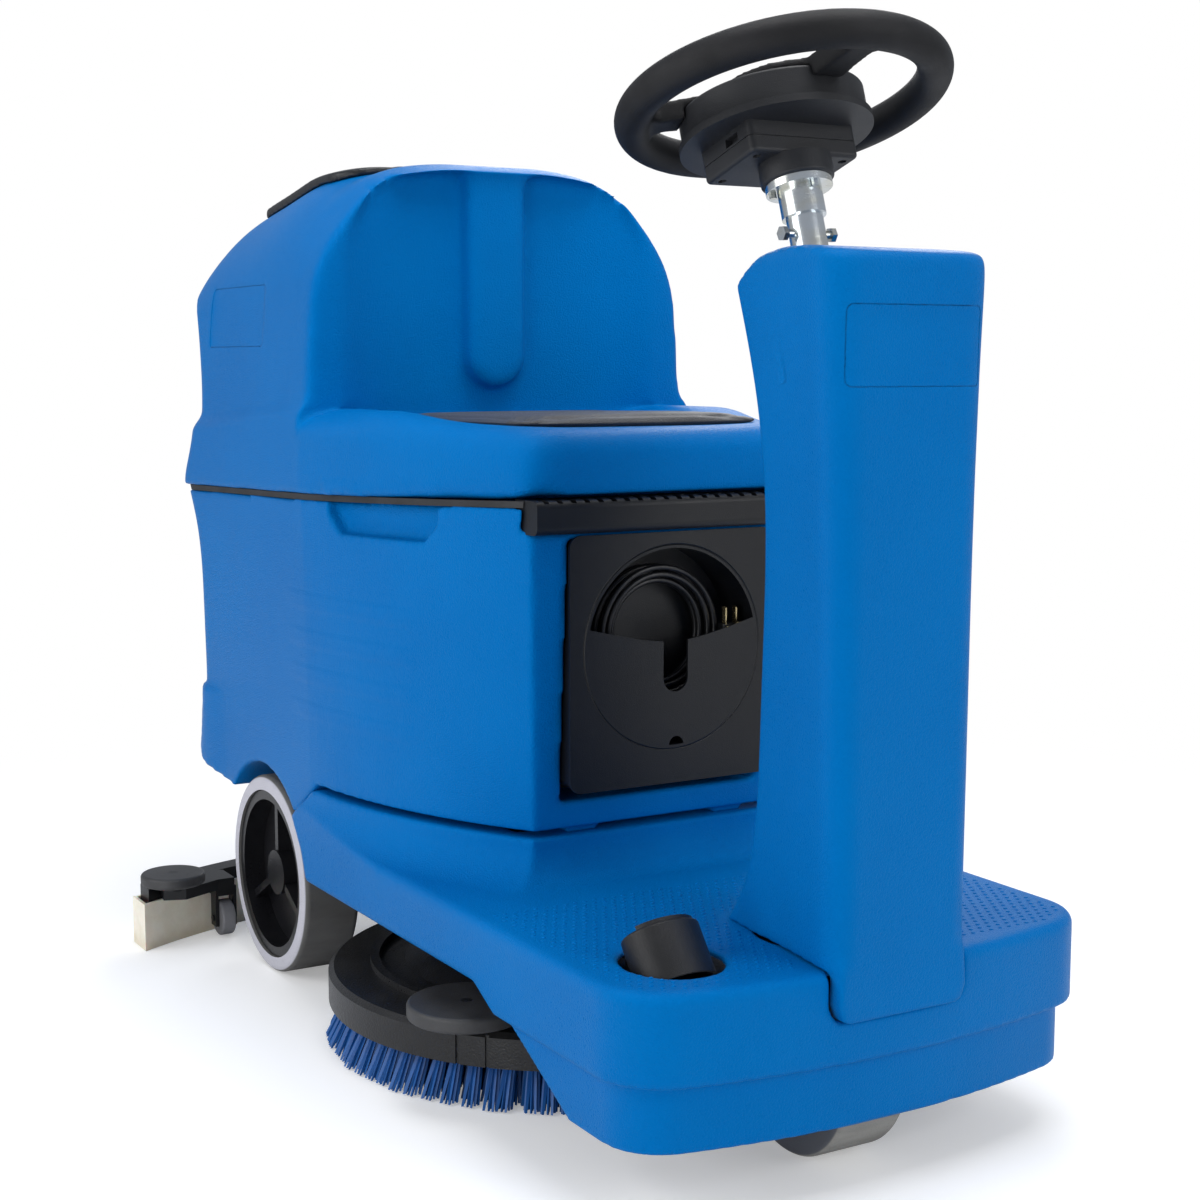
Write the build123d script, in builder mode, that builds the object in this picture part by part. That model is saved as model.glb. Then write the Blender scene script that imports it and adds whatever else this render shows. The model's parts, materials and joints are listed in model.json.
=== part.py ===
from build123d import *
import os
from math import cos, pi, radians, sin, tan

# Ride-on floor scrubber, millimetres. +Z up, the machine faces -Y, the driver's left side is +X.
# The origin lies on the floor, under the middle of the machine's length.

# ---------------------------------------------------------------- driving sizes
REAR_AXLE_Y = 304.0          # rear axle's place behind the origin
WHEELBASE = 776.0
MACHINE_HALF = 265.0         # half the platform's width
DECK_Z = 210.0               # top of the driver's platform
BUMPER_FRONT = 895.0         # bumper's front, ahead of the rear axle
WALL = 6.0                   # moulded shells
FIT = 0.05                   # running clearance of a pin or shaft in its bore, on the radius
GAP = 0.4                    # clearance between moving neighbours

REAR_WHEEL_R = 120.0
REAR_TYRE_WIDTH = 70.0
REAR_TYRE_FACE = 252.0       # outer face of a rear tyre, from the middle
REAR_RIM_R = 102.0
REAR_DISH_R = 90.0
AXLE_R = 10.0
FRONT_WHEEL_R = 90.0
FRONT_TYRE_WIDTH = 74.0
FRONT_RIM_R = 70.0
HUB_MOTOR_R = 56.0

BODY_HALF = 257.0            # half width of the solution tank at its base
BODY_REAR = 240.0            # its rear wall, behind the rear axle
BODY_FRONT = 494.0           # its front wall at the base, ahead of the rear axle
BODY_NOSE_HALF = 151.0
BODY_CORNER_R = 60.0
NOSE_R = 12.0
BODY_Z = 262.0
PARTING_Z = 585.0            # top of the solution tank, 150 mm ahead of the rear axle
PARTING_SLOPE = 1.5          # degrees, rising to the front
SEAL = 7.0                   # thickness of the tank seal
LEDGE_Z = 255.0              # top of the platform's pedestal, under the solution tank

SEAT_Z = 677.0
BACK_FRONT = 146.0           # front edge of the backrest's wings, ahead of the rear axle

POLE_TILT = 18.0             # steering pole, leaning back
WHEEL_HUB_Y = -702.0         # steering wheel's centre, from the rear axle
WHEEL_HUB_Z = 978.0
STEER_RIM_R = 141.0
STEER_TUBE_R = 17.0
POLE_R = 17.0

COLUMN_FRONT = 901.0
BRUSH_X = -40.0
BRUSH_Y = -365.0             # brush centre, from the rear axle
BRUSH_R = 262.0
DECK_R = 264.0
DECK_RIM_Z = 45.0
DECK_TOP_Z = 105.0

PANEL_FRONT = 519.0          # face of the front panel, ahead of the rear axle
POCKET_Z = 445.0
POCKET_R = 103.0
POCKET_DEPTH = 62.0

SQUEEGEE_HALF = 361.0
SQUEEGEE_ARC_R = 760.0
SQUEEGEE_REAR = 284.0        # blade's rearmost point, behind the rear axle

CORD_R = 3.1


def aft(distance):
    """Frame Y of a point that far behind the rear axle; negative is ahead of it."""
    return REAR_AXLE_Y + distance


def save(builder, name):
    builder.part.label = name
    export_step(builder.part, f"parts/{name}.step")


def cylinder_x(radius, length, x, y, z, mode=Mode.ADD):
    """A cylinder along X, centred at the point."""
    with BuildSketch(Plane.YZ.offset(x - length / 2)) as disc:
        with Locations((y, z)):
            Circle(radius)
    extrude(disc.sketch, amount=length, mode=mode)


def block(x, y, z, mode=Mode.ADD):
    """A box between two limits on each axis."""
    with BuildSketch(Plane.XY.offset(z[0])) as base:
        with Locations(((x[0] + x[1]) / 2, (y[0] + y[1]) / 2)):
            Rectangle(x[1] - x[0], y[1] - y[0])
    extrude(base.sketch, amount=z[1] - z[0], mode=mode)


def hub_plane(height, turn=0.0):
    """A plane across the steering pole, that far above the steering wheel's centre."""
    turn, tilt = radians(turn), radians(POLE_TILT)
    across = (cos(turn), sin(turn) * cos(tilt), -sin(turn) * sin(tilt))
    return Plane(origin=HUB_PLANE.offset(height).origin, x_dir=across, z_dir=POLE_DIR)


os.makedirs("parts", exist_ok=True)

PARTING = Plane(
    origin=(0, aft(-150), PARTING_Z),
    x_dir=(1, 0, 0),
    z_dir=(0, sin(radians(PARTING_SLOPE)), cos(radians(PARTING_SLOPE))),
)
SEAL_TOP = PARTING.offset(SEAL)
STEER_AXIS_Y = aft(-WHEELBASE)
POLE_DIR = (0, sin(radians(POLE_TILT)), cos(radians(POLE_TILT)))
HUB_PLANE = Plane(origin=(0, aft(WHEEL_HUB_Y), WHEEL_HUB_Z), x_dir=(1, 0, 0), z_dir=POLE_DIR)
JOINT_DROP = (WHEELBASE + WHEEL_HUB_Y) / sin(radians(POLE_TILT))
JOINT_Z = WHEEL_HUB_Z - JOINT_DROP * cos(radians(POLE_TILT))


# ---------------------------------------------------------------- body outlines
SIDE_DRAFT = 0.018           # how fast the body widens with height
NOSE_DRAFT = 0.043
FRONT_DRAFT = 0.068
TAPER_START = 156.0          # where the sides leave the straight, ahead of the rear axle
TAPER_MID = (227.0, 331.0)


def body_plan(z, grow=0.0, rear=BODY_REAR):
    """Outline of the machine's body at a height: square behind, tapering to a narrow nose."""
    rise = z - BODY_Z
    half = BODY_HALF + grow + SIDE_DRAFT * rise
    nose = BODY_NOSE_HALF + grow + NOSE_DRAFT * rise
    front = aft(-BODY_FRONT - grow - FRONT_DRAFT * rise)
    middle = TAPER_MID[0] + grow + SIDE_DRAFT * rise
    back = aft(rear + grow)
    with BuildSketch(Plane.XY.offset(z)) as plan:
        with BuildLine():
            Line((-half, back), (half, back))
            Line((half, back), (half, aft(-TAPER_START)))
            ThreePointArc((half, aft(-TAPER_START)), (middle, aft(-TAPER_MID[1])), (nose, front))
            Line((nose, front), (-nose, front))
            ThreePointArc((-nose, front), (-middle, aft(-TAPER_MID[1])), (-half, aft(-TAPER_START)))
            Line((-half, aft(-TAPER_START)), (-half, back))
        make_face()
        corners = plan.vertices().group_by(Axis.Y)
        fillet(corners[-1], BODY_CORNER_R + grow)
        fillet(corners[0], NOSE_R + grow)
    return plan.sketch


def platform_plan(z, inset=0.0):
    """Outline of the driver's platform: straight sides and a bowed front."""
    half = MACHINE_HALF - inset
    shoulder = aft(inset - BUMPER_FRONT + 36)
    rear = aft(20)
    with BuildSketch(Plane.XY.offset(z)) as plan:
        with BuildLine():
            Line((-half, rear), (half, rear))
            Line((half, rear), (half, shoulder))
            ThreePointArc((half, shoulder), (0, aft(inset - BUMPER_FRONT)), (-half, shoulder))
            Line((-half, shoulder), (-half, rear))
        make_face()
        fillet(plan.vertices().filter_by_position(Axis.Y, shoulder - 1, shoulder + 1), 70 - inset)
    return plan.sketch


# ---------------------------------------------------------------- platform shell
SKIRT_Z = 62.0
SKIRT_STEP_Z = 125.0
SKIRT_STEP = 12.0
SIDE_Z = 147.0
RAMP_R = 42.0
NOTCH_HALF = 72.0
NOTCH_Z = 168.0
SHADOW_GAP = 2.5
PEDAL_X = -172.0
PEDAL_Y = -787.0
PEDAL_HOLE = (46.0, 51.0)
BAY_HALF = 150.0             # opening in the pedestal, over the brush drive
STEER_WELL_R = 62.0


def platform_side(inset):
    """Side view of the platform: cut up over the brush, and hollowed round the rear wheel."""
    with BuildSketch(Plane.YZ) as side:
        with BuildLine():
            Polyline(
                (aft(-174 - inset), LEDGE_Z + 20),
                (aft(-174 - inset), LEDGE_Z + 7),
                (aft(-109 - inset), 216),
                (aft(-138 - inset), 179),
                (aft(-151 - inset), SIDE_Z - 2 * inset),
                (aft(-575 - inset), SIDE_Z - 2 * inset),
                (aft(-745 - inset), SKIRT_Z - 2 * inset),
                (aft(-BUMPER_FRONT - 30), SKIRT_Z - 2 * inset),
                (aft(-BUMPER_FRONT - 30), LEDGE_Z + 20),
                close=True,
            )
        make_face()
    return side.sketch


def platform_form(inset):
    """The platform's outer body for inset 0, and the hollow inside it for the wall's thickness."""
    deck = DECK_Z - inset
    grow = 3 - inset
    # the deck curves up to the pedestal in a quarter round
    curve = [radians(angle) for angle in (0, 22, 45, 68, 90)]
    with BuildPart() as ramp:
        loft(
            [
                body_plan(deck + RAMP_R * (1 - cos(angle)), grow + RAMP_R * (1 - sin(angle)))
                for angle in curve
            ]
        )
        extrude(body_plan(deck + RAMP_R, grow), amount=LEDGE_Z - DECK_Z - RAMP_R)
        extrude(body_plan(DECK_Z - 20, grow + RAMP_R), amount=20 - inset)
        extrude(platform_plan(DECK_Z - 20, inset), amount=100, mode=Mode.INTERSECT)
    with BuildPart() as form:
        extrude(platform_plan(SKIRT_STEP_Z + inset, inset), amount=deck - SKIRT_STEP_Z - inset)
        fillet(form.faces().sort_by(Axis.Z)[-1].edges().filter_by(
            lambda edge: edge.center().Y < aft(0)), 10 if inset == 0 else 4)
        extrude(platform_plan(SKIRT_Z - 2 * inset, inset + SKIRT_STEP), amount=SKIRT_STEP_Z - SKIRT_Z + 20)
        add(ramp.part)
        extrude(platform_side(inset), amount=MACHINE_HALF, both=True, mode=Mode.INTERSECT)
    return form.part


platform_outer = platform_form(0)
platform_inner = platform_form(WALL)

with BuildPart() as platform_shell:
    add(platform_outer)
    add(platform_inner, mode=Mode.SUBTRACT)
    block((-BAY_HALF, BAY_HALF), (aft(-455), aft(-95)), (DECK_Z - 30, LEDGE_Z + 9), Mode.SUBTRACT)
    block((-BAY_HALF, BAY_HALF), (aft(-200), aft(-90)), (100, DECK_Z - 10), Mode.SUBTRACT)
    # well for the drive pedal
    with BuildSketch(Plane.XY.offset(DECK_Z - 3 * WALL)):
        with Locations((PEDAL_X, aft(PEDAL_Y))):
            Ellipse(PEDAL_HOLE[0], PEDAL_HOLE[1])
    extrude(amount=4 * WALL, mode=Mode.SUBTRACT)
    # well for the steering shaft, under the column
    with BuildSketch(Plane.XY.offset(DECK_Z - 3 * WALL)):
        with Locations((0, STEER_AXIS_Y)):
            Circle(STEER_WELL_R)
    extrude(amount=4 * WALL, mode=Mode.SUBTRACT)
    # notch in the bumper for the column's tongue
    with BuildSketch(Plane.XZ.offset(-aft(-BUMPER_FRONT + 14))) as notch:
        with Locations((0, (NOTCH_Z + DECK_Z + 20) / 2)):
            Rectangle(2 * NOTCH_HALF + 2 * SHADOW_GAP, DECK_Z + 20 - NOTCH_Z + 2 * SHADOW_GAP)
        fillet(notch.vertices().group_by(Axis.Y)[0], 16)
    extrude(amount=60, mode=Mode.SUBTRACT)
save(platform_shell, "platform_shell")


# ---------------------------------------------------------------- steering column shell
COLUMN_TOP_Z = 838.0
COLUMN_WALL = 5.0
COLUMN_SECTIONS = (
    # height, half width in front, half width behind, rear face ahead of the axle, corner radius
    (DECK_Z, 80.0, 53.0, 690.0, 22.0),
    (262.0, 80.5, 53.0, 722.0, 22.0),
    (345.0, 81.5, 54.0, 739.0, 22.0),
    (520.0, 84.0, 54.0, 747.0, 23.0),
    (680.0, 88.5, 55.0, 738.0, 25.0),
    (850.0, 96.0, 60.0, 690.0, 28.0),
)
BUSHING_R = 24.0
BUSHING_TOP = 160.0          # below the steering wheel, along the pole
BUSHING_LENGTH = 30.0
PLATE = (148.0, 69.0)        # bare recess for a name plate
PLATE_Z = 751.0
PLATE_DEPTH = 1.8


def column_form(inset):
    with BuildPart() as form:
        for height, front_half, rear_half, rear, corner in COLUMN_SECTIONS:
            with BuildSketch(Plane.XY.offset(height)) as section:
                with BuildLine():
                    Polyline(
                        (front_half - inset, aft(inset - COLUMN_FRONT)),
                        (rear_half - inset, aft(-rear - inset)),
                        (inset - rear_half, aft(-rear - inset)),
                        (inset - front_half, aft(inset - COLUMN_FRONT)),
                        close=True,
                    )
                make_face()
                fillet(section.vertices(), corner - inset)
        loft()
        top = COLUMN_TOP_Z - inset
        with BuildSketch(Plane.YZ) as side:
            with BuildLine():
                Polyline(
                    (aft(-500), 745 - inset),
                    (aft(-500), DECK_Z - 1),
                    (aft(-COLUMN_FRONT - 20), DECK_Z - 1),
                    (aft(-COLUMN_FRONT - 20), top - 10),
                )
                Spline(
                    (aft(-COLUMN_FRONT - 20), top - 10),
                    (aft(-806), top),
                    (aft(-752), top - 9),
                    (aft(-694), 790 - inset),
                    (aft(-500), 745 - inset),
                )
            make_face()
        extrude(side.sketch, amount=120, both=True, mode=Mode.INTERSECT)
    return form.part


column_outer = column_form(0)
column_inner = column_form(COLUMN_WALL)

with BuildPart() as plate_recess:
    with BuildSketch(Plane.XZ.offset(-aft(30 - COLUMN_FRONT))):
        with Locations((0, PLATE_Z)):
            RectangleRounded(*PLATE, 8)
    extrude(amount=60)
    add(column_form(PLATE_DEPTH), mode=Mode.SUBTRACT)

with BuildPart() as column_boss:
    with BuildSketch(HUB_PLANE.offset(-BUSHING_TOP - BUSHING_LENGTH)):
        Circle(BUSHING_R + COLUMN_WALL)
    extrude(amount=70)
    add(column_outer, mode=Mode.INTERSECT)

with BuildPart() as column_shell:
    add(column_outer)
    # tongue that drops into the bumper's notch
    with BuildSketch(Plane.XZ.offset(-aft(-COLUMN_FRONT))) as tongue:
        with Locations((0, (NOTCH_Z + DECK_Z + 8) / 2)):
            Rectangle(2 * NOTCH_HALF - SHADOW_GAP, DECK_Z + 8 - NOTCH_Z)
        fillet(tongue.vertices().group_by(Axis.Y)[0], 14)
    extrude(amount=-18)
    add(column_inner, mode=Mode.SUBTRACT)
    add(column_boss.part)
    # seat of the pole's bushing, and the pole's way out
    with BuildSketch(HUB_PLANE.offset(-BUSHING_TOP - BUSHING_LENGTH - 5)):
        Circle(BUSHING_R)
    extrude(amount=90, mode=Mode.SUBTRACT)
    add(plate_recess.part, mode=Mode.SUBTRACT)
save(column_shell, "column_shell")


# ---------------------------------------------------------------- frame, axle and steering gear
RAIL_X = 125.0
RAIL_WIDTH = 30.0
RAIL_HEIGHT = 40.0
RAIL_TOP = DECK_Z - WALL
TANK_FLOOR_Z = 210.0
PLATE = 6.0
SHAFT_R = 20.0
SLEW_R = 55.0
SLEW_HEIGHT = 7.5
FORK_PLATE_TOP = RAIL_TOP - PLATE - SLEW_HEIGHT - GAP
LEG_INNER = FRONT_TYRE_WIDTH / 2 + 7
LEG = 8.0
BALL_R = 13.0
ARM_PIVOT = (-150.0, 172.0)  # brush lift arm's pin on the frame: behind the rear axle, and height
ARM_X = 62.0                 # arm plates, either side of the brush centre
SQUEEGEE_PIVOT_Y = 60.0
SQUEEGEE_PIVOT_Z = 100.0
POST_Z = 140.0
SWING_PIN_R = 8.0
SWING_PIN = 20.0
PIN_R = 6.0

with BuildPart() as main_frame:
    for side in (-1, 1):
        middle = side * RAIL_X
        rail = (middle - RAIL_WIDTH / 2, middle + RAIL_WIDTH / 2)
        block(rail, (aft(-650), aft(160)), (RAIL_TOP - RAIL_HEIGHT, RAIL_TOP))
        # axle bracket
        block((middle - 5, middle + 5), (aft(-36), aft(36)), (REAR_WHEEL_R - 26, RAIL_TOP - RAIL_HEIGHT))
    for start, end in ((-650, -620), (-132, -104), (20, 80)):
        block((-RAIL_X, RAIL_X), (aft(start), aft(end)), (RAIL_TOP - RAIL_HEIGHT, RAIL_TOP))
    block((-RAIL_X, RAIL_X), (aft(20), aft(80)), (RAIL_TOP, TANK_FLOOR_Z))
    block((-74, 74), (aft(-850), aft(-640)), (RAIL_TOP - PLATE, RAIL_TOP))
    # ears for the brush lift arm, and the post for the squeegee
    for side in (-1, 1):
        ear = BRUSH_X + side * (ARM_X - 9)
        block((ear - 4, ear + 4), (aft(-165), aft(-110)), (ARM_PIVOT[1] - 16, RAIL_TOP))
    block((-30, 30), (aft(SQUEEGEE_PIVOT_Y - 30), aft(SQUEEGEE_PIVOT_Y + 20)), (POST_Z, RAIL_TOP))
    for x in (-RAIL_X, RAIL_X):
        cylinder_x(AXLE_R + FIT, 40, x, aft(0), REAR_WHEEL_R, Mode.SUBTRACT)
    for side in (-1, 1):
        middle = BRUSH_X + side * (ARM_X - 9)
        cylinder_x(PIN_R + FIT, 20, middle, aft(ARM_PIVOT[0]), ARM_PIVOT[1], Mode.SUBTRACT)
    with BuildSketch(Plane.XY.offset(RAIL_TOP - PLATE - 1)):
        with Locations((0, STEER_AXIS_Y)):
            Circle(SHAFT_R + 8)
    extrude(amount=PLATE + 2, mode=Mode.SUBTRACT)
    with BuildSketch(Plane.XY.offset(POST_Z - 1)):
        with Locations((0, aft(SQUEEGEE_PIVOT_Y))):
            Circle(SWING_PIN_R + FIT)
    extrude(amount=SWING_PIN + 1, mode=Mode.SUBTRACT)
save(main_frame, "main_frame")

with BuildPart() as rear_axle:
    cylinder_x(AXLE_R, 2 * (REAR_TYRE_FACE - 18), 0, aft(0), REAR_WHEEL_R)
    chamfer(rear_axle.edges().filter_by(GeomType.CIRCLE), 1)
save(rear_axle, "rear_axle")

with BuildPart() as slew_ring:
    with BuildSketch(Plane.XY.offset(RAIL_TOP - PLATE - SLEW_HEIGHT)):
        with Locations((0, STEER_AXIS_Y)):
            Circle(SLEW_R)
            Circle(SHAFT_R + FIT, mode=Mode.SUBTRACT)
            with PolarLocations(SLEW_R - 9, 6):
                Circle(3, mode=Mode.SUBTRACT)
    extrude(amount=SLEW_HEIGHT)
save(slew_ring, "slew_ring")

with BuildPart() as steer_fork:
    with BuildSketch(Plane.XY.offset(FORK_PLATE_TOP - LEG)):
        with Locations((0, STEER_AXIS_Y)):
            RectangleRounded(2 * (LEG_INNER + LEG), 92, 10)
    extrude(amount=LEG)
    for side in (-1, 1):
        with BuildSketch(Plane.YZ.offset(side * (LEG_INNER + LEG / 2) - LEG / 2)):
            with BuildLine():
                Polyline(
                    (STEER_AXIS_Y - 40, FORK_PLATE_TOP - 1),
                    (STEER_AXIS_Y + 40, FORK_PLATE_TOP - 1),
                    (STEER_AXIS_Y + 22, FRONT_WHEEL_R),
                    (STEER_AXIS_Y - 22, FRONT_WHEEL_R),
                    close=True,
                )
            make_face()
            with Locations((STEER_AXIS_Y, FRONT_WHEEL_R)):
                Circle(22)
        extrude(amount=LEG)
    with BuildSketch(Plane.XZ.offset(-STEER_AXIS_Y)):
        with BuildLine():
            Polyline(
                (0, FORK_PLATE_TOP - 1),
                (SHAFT_R, FORK_PLATE_TOP - 1),
                (SHAFT_R, 216),
                (13, 224),
                (13, JOINT_Z - 46),
                (22, JOINT_Z - 30),
                (22, JOINT_Z + 3),
                (0, JOINT_Z + 3),
                close=True,
            )
        make_face()
    revolve(axis=Axis((0, STEER_AXIS_Y, 0), (0, 0, 1)))
    with Locations((0, STEER_AXIS_Y, JOINT_Z)):
        Sphere(BALL_R + GAP, mode=Mode.SUBTRACT)
    cylinder_x(10 + FIT, 4 * LEG_INNER, 0, STEER_AXIS_Y, FRONT_WHEEL_R, Mode.SUBTRACT)
save(steer_fork, "steer_fork")

with BuildPart() as drive_motor:
    cylinder_x(HUB_MOTOR_R, LEG_INNER + 24, (LEG_INNER - 24) / 2, STEER_AXIS_Y, FRONT_WHEEL_R)
    fillet(drive_motor.edges().filter_by(GeomType.CIRCLE), 4)
    cylinder_x(10, 2 * (LEG_INNER + LEG) + 8, 0, STEER_AXIS_Y, FRONT_WHEEL_R)
save(drive_motor, "drive_motor")


def wheel_ring(outer, inner, width, x, y, z, edge):
    """A tyre or rim: a ring about an axle along X, its outer corners rounded."""
    with BuildSketch(Plane.XY.offset(z)) as section:
        with Locations((x, y + (outer + inner) / 2)):
            Rectangle(width, outer - inner)
        fillet(section.vertices().group_by(Axis.Y)[-1], edge)
    revolve(section.sketch, axis=Axis((x, y, z), (1, 0, 0)))


with BuildPart() as drive_tyre:
    wheel_ring(FRONT_WHEEL_R, FRONT_RIM_R, FRONT_TYRE_WIDTH, 0, STEER_AXIS_Y, FRONT_WHEEL_R, 6)
save(drive_tyre, "drive_tyre")

with BuildPart() as drive_hub:
    wheel_ring(FRONT_RIM_R, FRONT_RIM_R - 8, FRONT_TYRE_WIDTH - 4, 0, STEER_AXIS_Y, FRONT_WHEEL_R, 1)
    cylinder_x(FRONT_RIM_R - 6, 7, -FRONT_TYRE_WIDTH / 2 + 6, STEER_AXIS_Y, FRONT_WHEEL_R)
    cylinder_x(24, 11, -FRONT_TYRE_WIDTH / 2 + 3, STEER_AXIS_Y, FRONT_WHEEL_R)
    cylinder_x(10 + FIT, FRONT_TYRE_WIDTH, -FRONT_TYRE_WIDTH / 2, STEER_AXIS_Y, FRONT_WHEEL_R, Mode.SUBTRACT)
save(drive_hub, "drive_hub")


# ---------------------------------------------------------------- rear wheels
HUB_DEPTH = 34.0
HUB_WEB = 9.0
HUB_BOSS_R = 27.0


def rear_hub(side):
    """Moulded wheel centre: a deep dish with three ribs round a capped boss."""
    face = side * REAR_TYRE_FACE
    inward = -side
    mid = side * (REAR_TYRE_FACE - REAR_TYRE_WIDTH / 2)
    web = face + inward * HUB_DEPTH
    with BuildPart() as hub:
        wheel_ring(REAR_RIM_R, REAR_DISH_R, REAR_TYRE_WIDTH - 6, mid, aft(0), REAR_WHEEL_R, 1)
        cylinder_x(REAR_DISH_R + 1, HUB_WEB, web, aft(0), REAR_WHEEL_R)
        cylinder_x(HUB_BOSS_R, HUB_DEPTH + 14, face + inward * (HUB_DEPTH / 2 + 17), aft(0), REAR_WHEEL_R)
        for turn in range(3):
            angle = radians(90 + 120 * turn)
            along = (0, cos(angle), sin(angle))
            plane = Plane(origin=(web, aft(0), REAR_WHEEL_R), x_dir=along, z_dir=(side, 0, 0))
            with BuildSketch(plane) as rib:
                with Locations(((REAR_DISH_R + HUB_BOSS_R) / 2, 0)):
                    Rectangle(REAR_DISH_R - HUB_BOSS_R + 6, 9)
            extrude(rib.sketch, amount=HUB_DEPTH - 12)
        cylinder_x(
            AXLE_R + FIT,
            REAR_TYRE_WIDTH,
            face + inward * (17 + REAR_TYRE_WIDTH / 2),
            aft(0),
            REAR_WHEEL_R,
            Mode.SUBTRACT,
        )
    return hub


rear_hub_left = rear_hub(1)
save(rear_hub_left, "rear_hub_left")
rear_hub_right = rear_hub(-1)
save(rear_hub_right, "rear_hub_right")

REAR_TYRE_X = REAR_TYRE_FACE - REAR_TYRE_WIDTH / 2
with BuildPart() as rear_tyre_left:
    wheel_ring(REAR_WHEEL_R, REAR_RIM_R, REAR_TYRE_WIDTH, REAR_TYRE_X, aft(0), REAR_WHEEL_R, 7)
save(rear_tyre_left, "rear_tyre_left")

with BuildPart() as rear_tyre_right:
    wheel_ring(REAR_WHEEL_R, REAR_RIM_R, REAR_TYRE_WIDTH, -REAR_TYRE_X, aft(0), REAR_WHEEL_R, 7)
save(rear_tyre_right, "rear_tyre_right")


# ---------------------------------------------------------------- drive pedal
PEDAL_LEAN = 38.0
PEDAL_HINGE = (-738.0, 193.0)
PEDAL_TOP = (-766.0, 231.0)
PEDAL_DRUM = (38.0, 31.0)
PEDAL_DEPTH = 52.0
PEDAL_PLANE = Plane(
    origin=(PEDAL_X, aft(PEDAL_TOP[0]), PEDAL_TOP[1]),
    x_dir=(1, 0, 0),
    z_dir=(0, sin(radians(PEDAL_LEAN)), cos(radians(PEDAL_LEAN))),
)

with BuildPart() as drive_pedal:
    with BuildSketch(PEDAL_PLANE.offset(-PEDAL_DEPTH)):
        Ellipse(PEDAL_DRUM[0], PEDAL_DRUM[1])
    extrude(amount=PEDAL_DEPTH)
    fillet(drive_pedal.edges().sort_by(Axis.Z)[-1], 3)
    with BuildSketch(PEDAL_PLANE.offset(-PEDAL_DEPTH - 1)):
        Ellipse(PEDAL_DRUM[0] - 3, PEDAL_DRUM[1] - 3)
    extrude(amount=PEDAL_DEPTH - 4, mode=Mode.SUBTRACT)
    # raised toe stop
    with BuildSketch(PEDAL_PLANE):
        Ellipse(PEDAL_DRUM[0] - 4, PEDAL_DRUM[1] - 4)
        with Locations((0, 10)):
            Ellipse(PEDAL_DRUM[0] + 6, PEDAL_DRUM[1], mode=Mode.SUBTRACT)
    extrude(amount=4)
    cylinder_x(9, 30, PEDAL_X, aft(PEDAL_HINGE[0]), PEDAL_HINGE[1])
    block((PEDAL_X - 15, PEDAL_X + 15), (aft(-762), aft(PEDAL_HINGE[0])), (187, 198))
    cylinder_x(4 + FIT, 40, PEDAL_X, aft(PEDAL_HINGE[0]), PEDAL_HINGE[1], Mode.SUBTRACT)
save(drive_pedal, "drive_pedal")

with BuildPart() as pedal_bracket:
    cylinder_x(4, 52, PEDAL_X, aft(PEDAL_HINGE[0]), PEDAL_HINGE[1])
    for side in (-1, 1):
        ear = PEDAL_X + side * 21
        block((ear - 3, ear + 3), (aft(PEDAL_HINGE[0] - 9), aft(PEDAL_HINGE[0] + 9)), (184, RAIL_TOP))
save(pedal_bracket, "pedal_bracket")


# ---------------------------------------------------------------- brush deck
BRUSH_AXIS = Axis((BRUSH_X, aft(BRUSH_Y), 0), (0, 0, 1))
BRUSH_SECTION = Plane(origin=(BRUSH_X, aft(BRUSH_Y), 0), x_dir=(1, 0, 0), z_dir=(0, -1, 0))
BLOCK_R = 226.0
BLOCK_Z = (56.0, 74.0)
MOTOR_R = 58.0
MOTOR_TOP = 204.0
ARM_FRONT = (-296.0, 132.0)  # lift arm's pin on the deck
ROLLER = (-240.0, -515.0)
ROLLER_R = 60.0
ROLLER_Z = (91.0, 107.0)

with BuildPart() as deck_housing:
    with BuildSketch(BRUSH_SECTION):
        with BuildLine():
            Polyline(
                (0, DECK_TOP_Z - 7),
                (134, DECK_TOP_Z - 7),
                (176, 79),
                (DECK_R - 7, 74),
                (DECK_R - 5, DECK_RIM_Z),
                (DECK_R, DECK_RIM_Z),
                (DECK_R, 76),
                (DECK_R - 6, 81),
                (180, 86),
                (140, DECK_TOP_Z),
                (0, DECK_TOP_Z),
                close=True,
            )
        make_face()
    revolve(axis=BRUSH_AXIS)
    # raised arc on top of the skirt
    with BuildSketch(BRUSH_SECTION):
        with Locations((213, 86)):
            Rectangle(10, 9)
    revolve(axis=BRUSH_AXIS)
    # mount of the guide roller, and ears of the lift arm
    with BuildSketch(Plane.XY.offset(80)):
        with Locations((ROLLER[0], aft(ROLLER[1]))):
            Circle(17)
    extrude(amount=ROLLER_Z[0] - GAP - 80)
    with BuildSketch(Plane.XY.offset(ROLLER_Z[0] - GAP)):
        with Locations((ROLLER[0], aft(ROLLER[1]))):
            Circle(6)
    extrude(amount=ROLLER_Z[1] - ROLLER_Z[0] + GAP)
    for side in (-1, 1):
        ear = BRUSH_X + side * (ARM_X - 9)
        block(
            (ear - 4, ear + 4),
            (aft(ARM_FRONT[0] - 14), aft(ARM_FRONT[0] + 14)),
            (DECK_TOP_Z - 2, ARM_FRONT[1] + 14),
        )
        cylinder_x(PIN_R + FIT, 20, ear, aft(ARM_FRONT[0]), ARM_FRONT[1], Mode.SUBTRACT)
    # motor's opening, and two witness grooves down the skirt
    with BuildSketch(Plane.XY.offset(90)):
        with Locations((BRUSH_X, aft(BRUSH_Y))):
            Circle(20)
    extrude(amount=30, mode=Mode.SUBTRACT)
    for turn in (216, 223):
        groove = Plane(BRUSH_SECTION.origin).rotated((0, 0, turn))
        with BuildSketch(groove.offset(DECK_RIM_Z - 1)):
            with Locations((DECK_R, 0)):
                Rectangle(4, 4)
        extrude(amount=40, mode=Mode.SUBTRACT)
save(deck_housing, "deck_housing")

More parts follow.
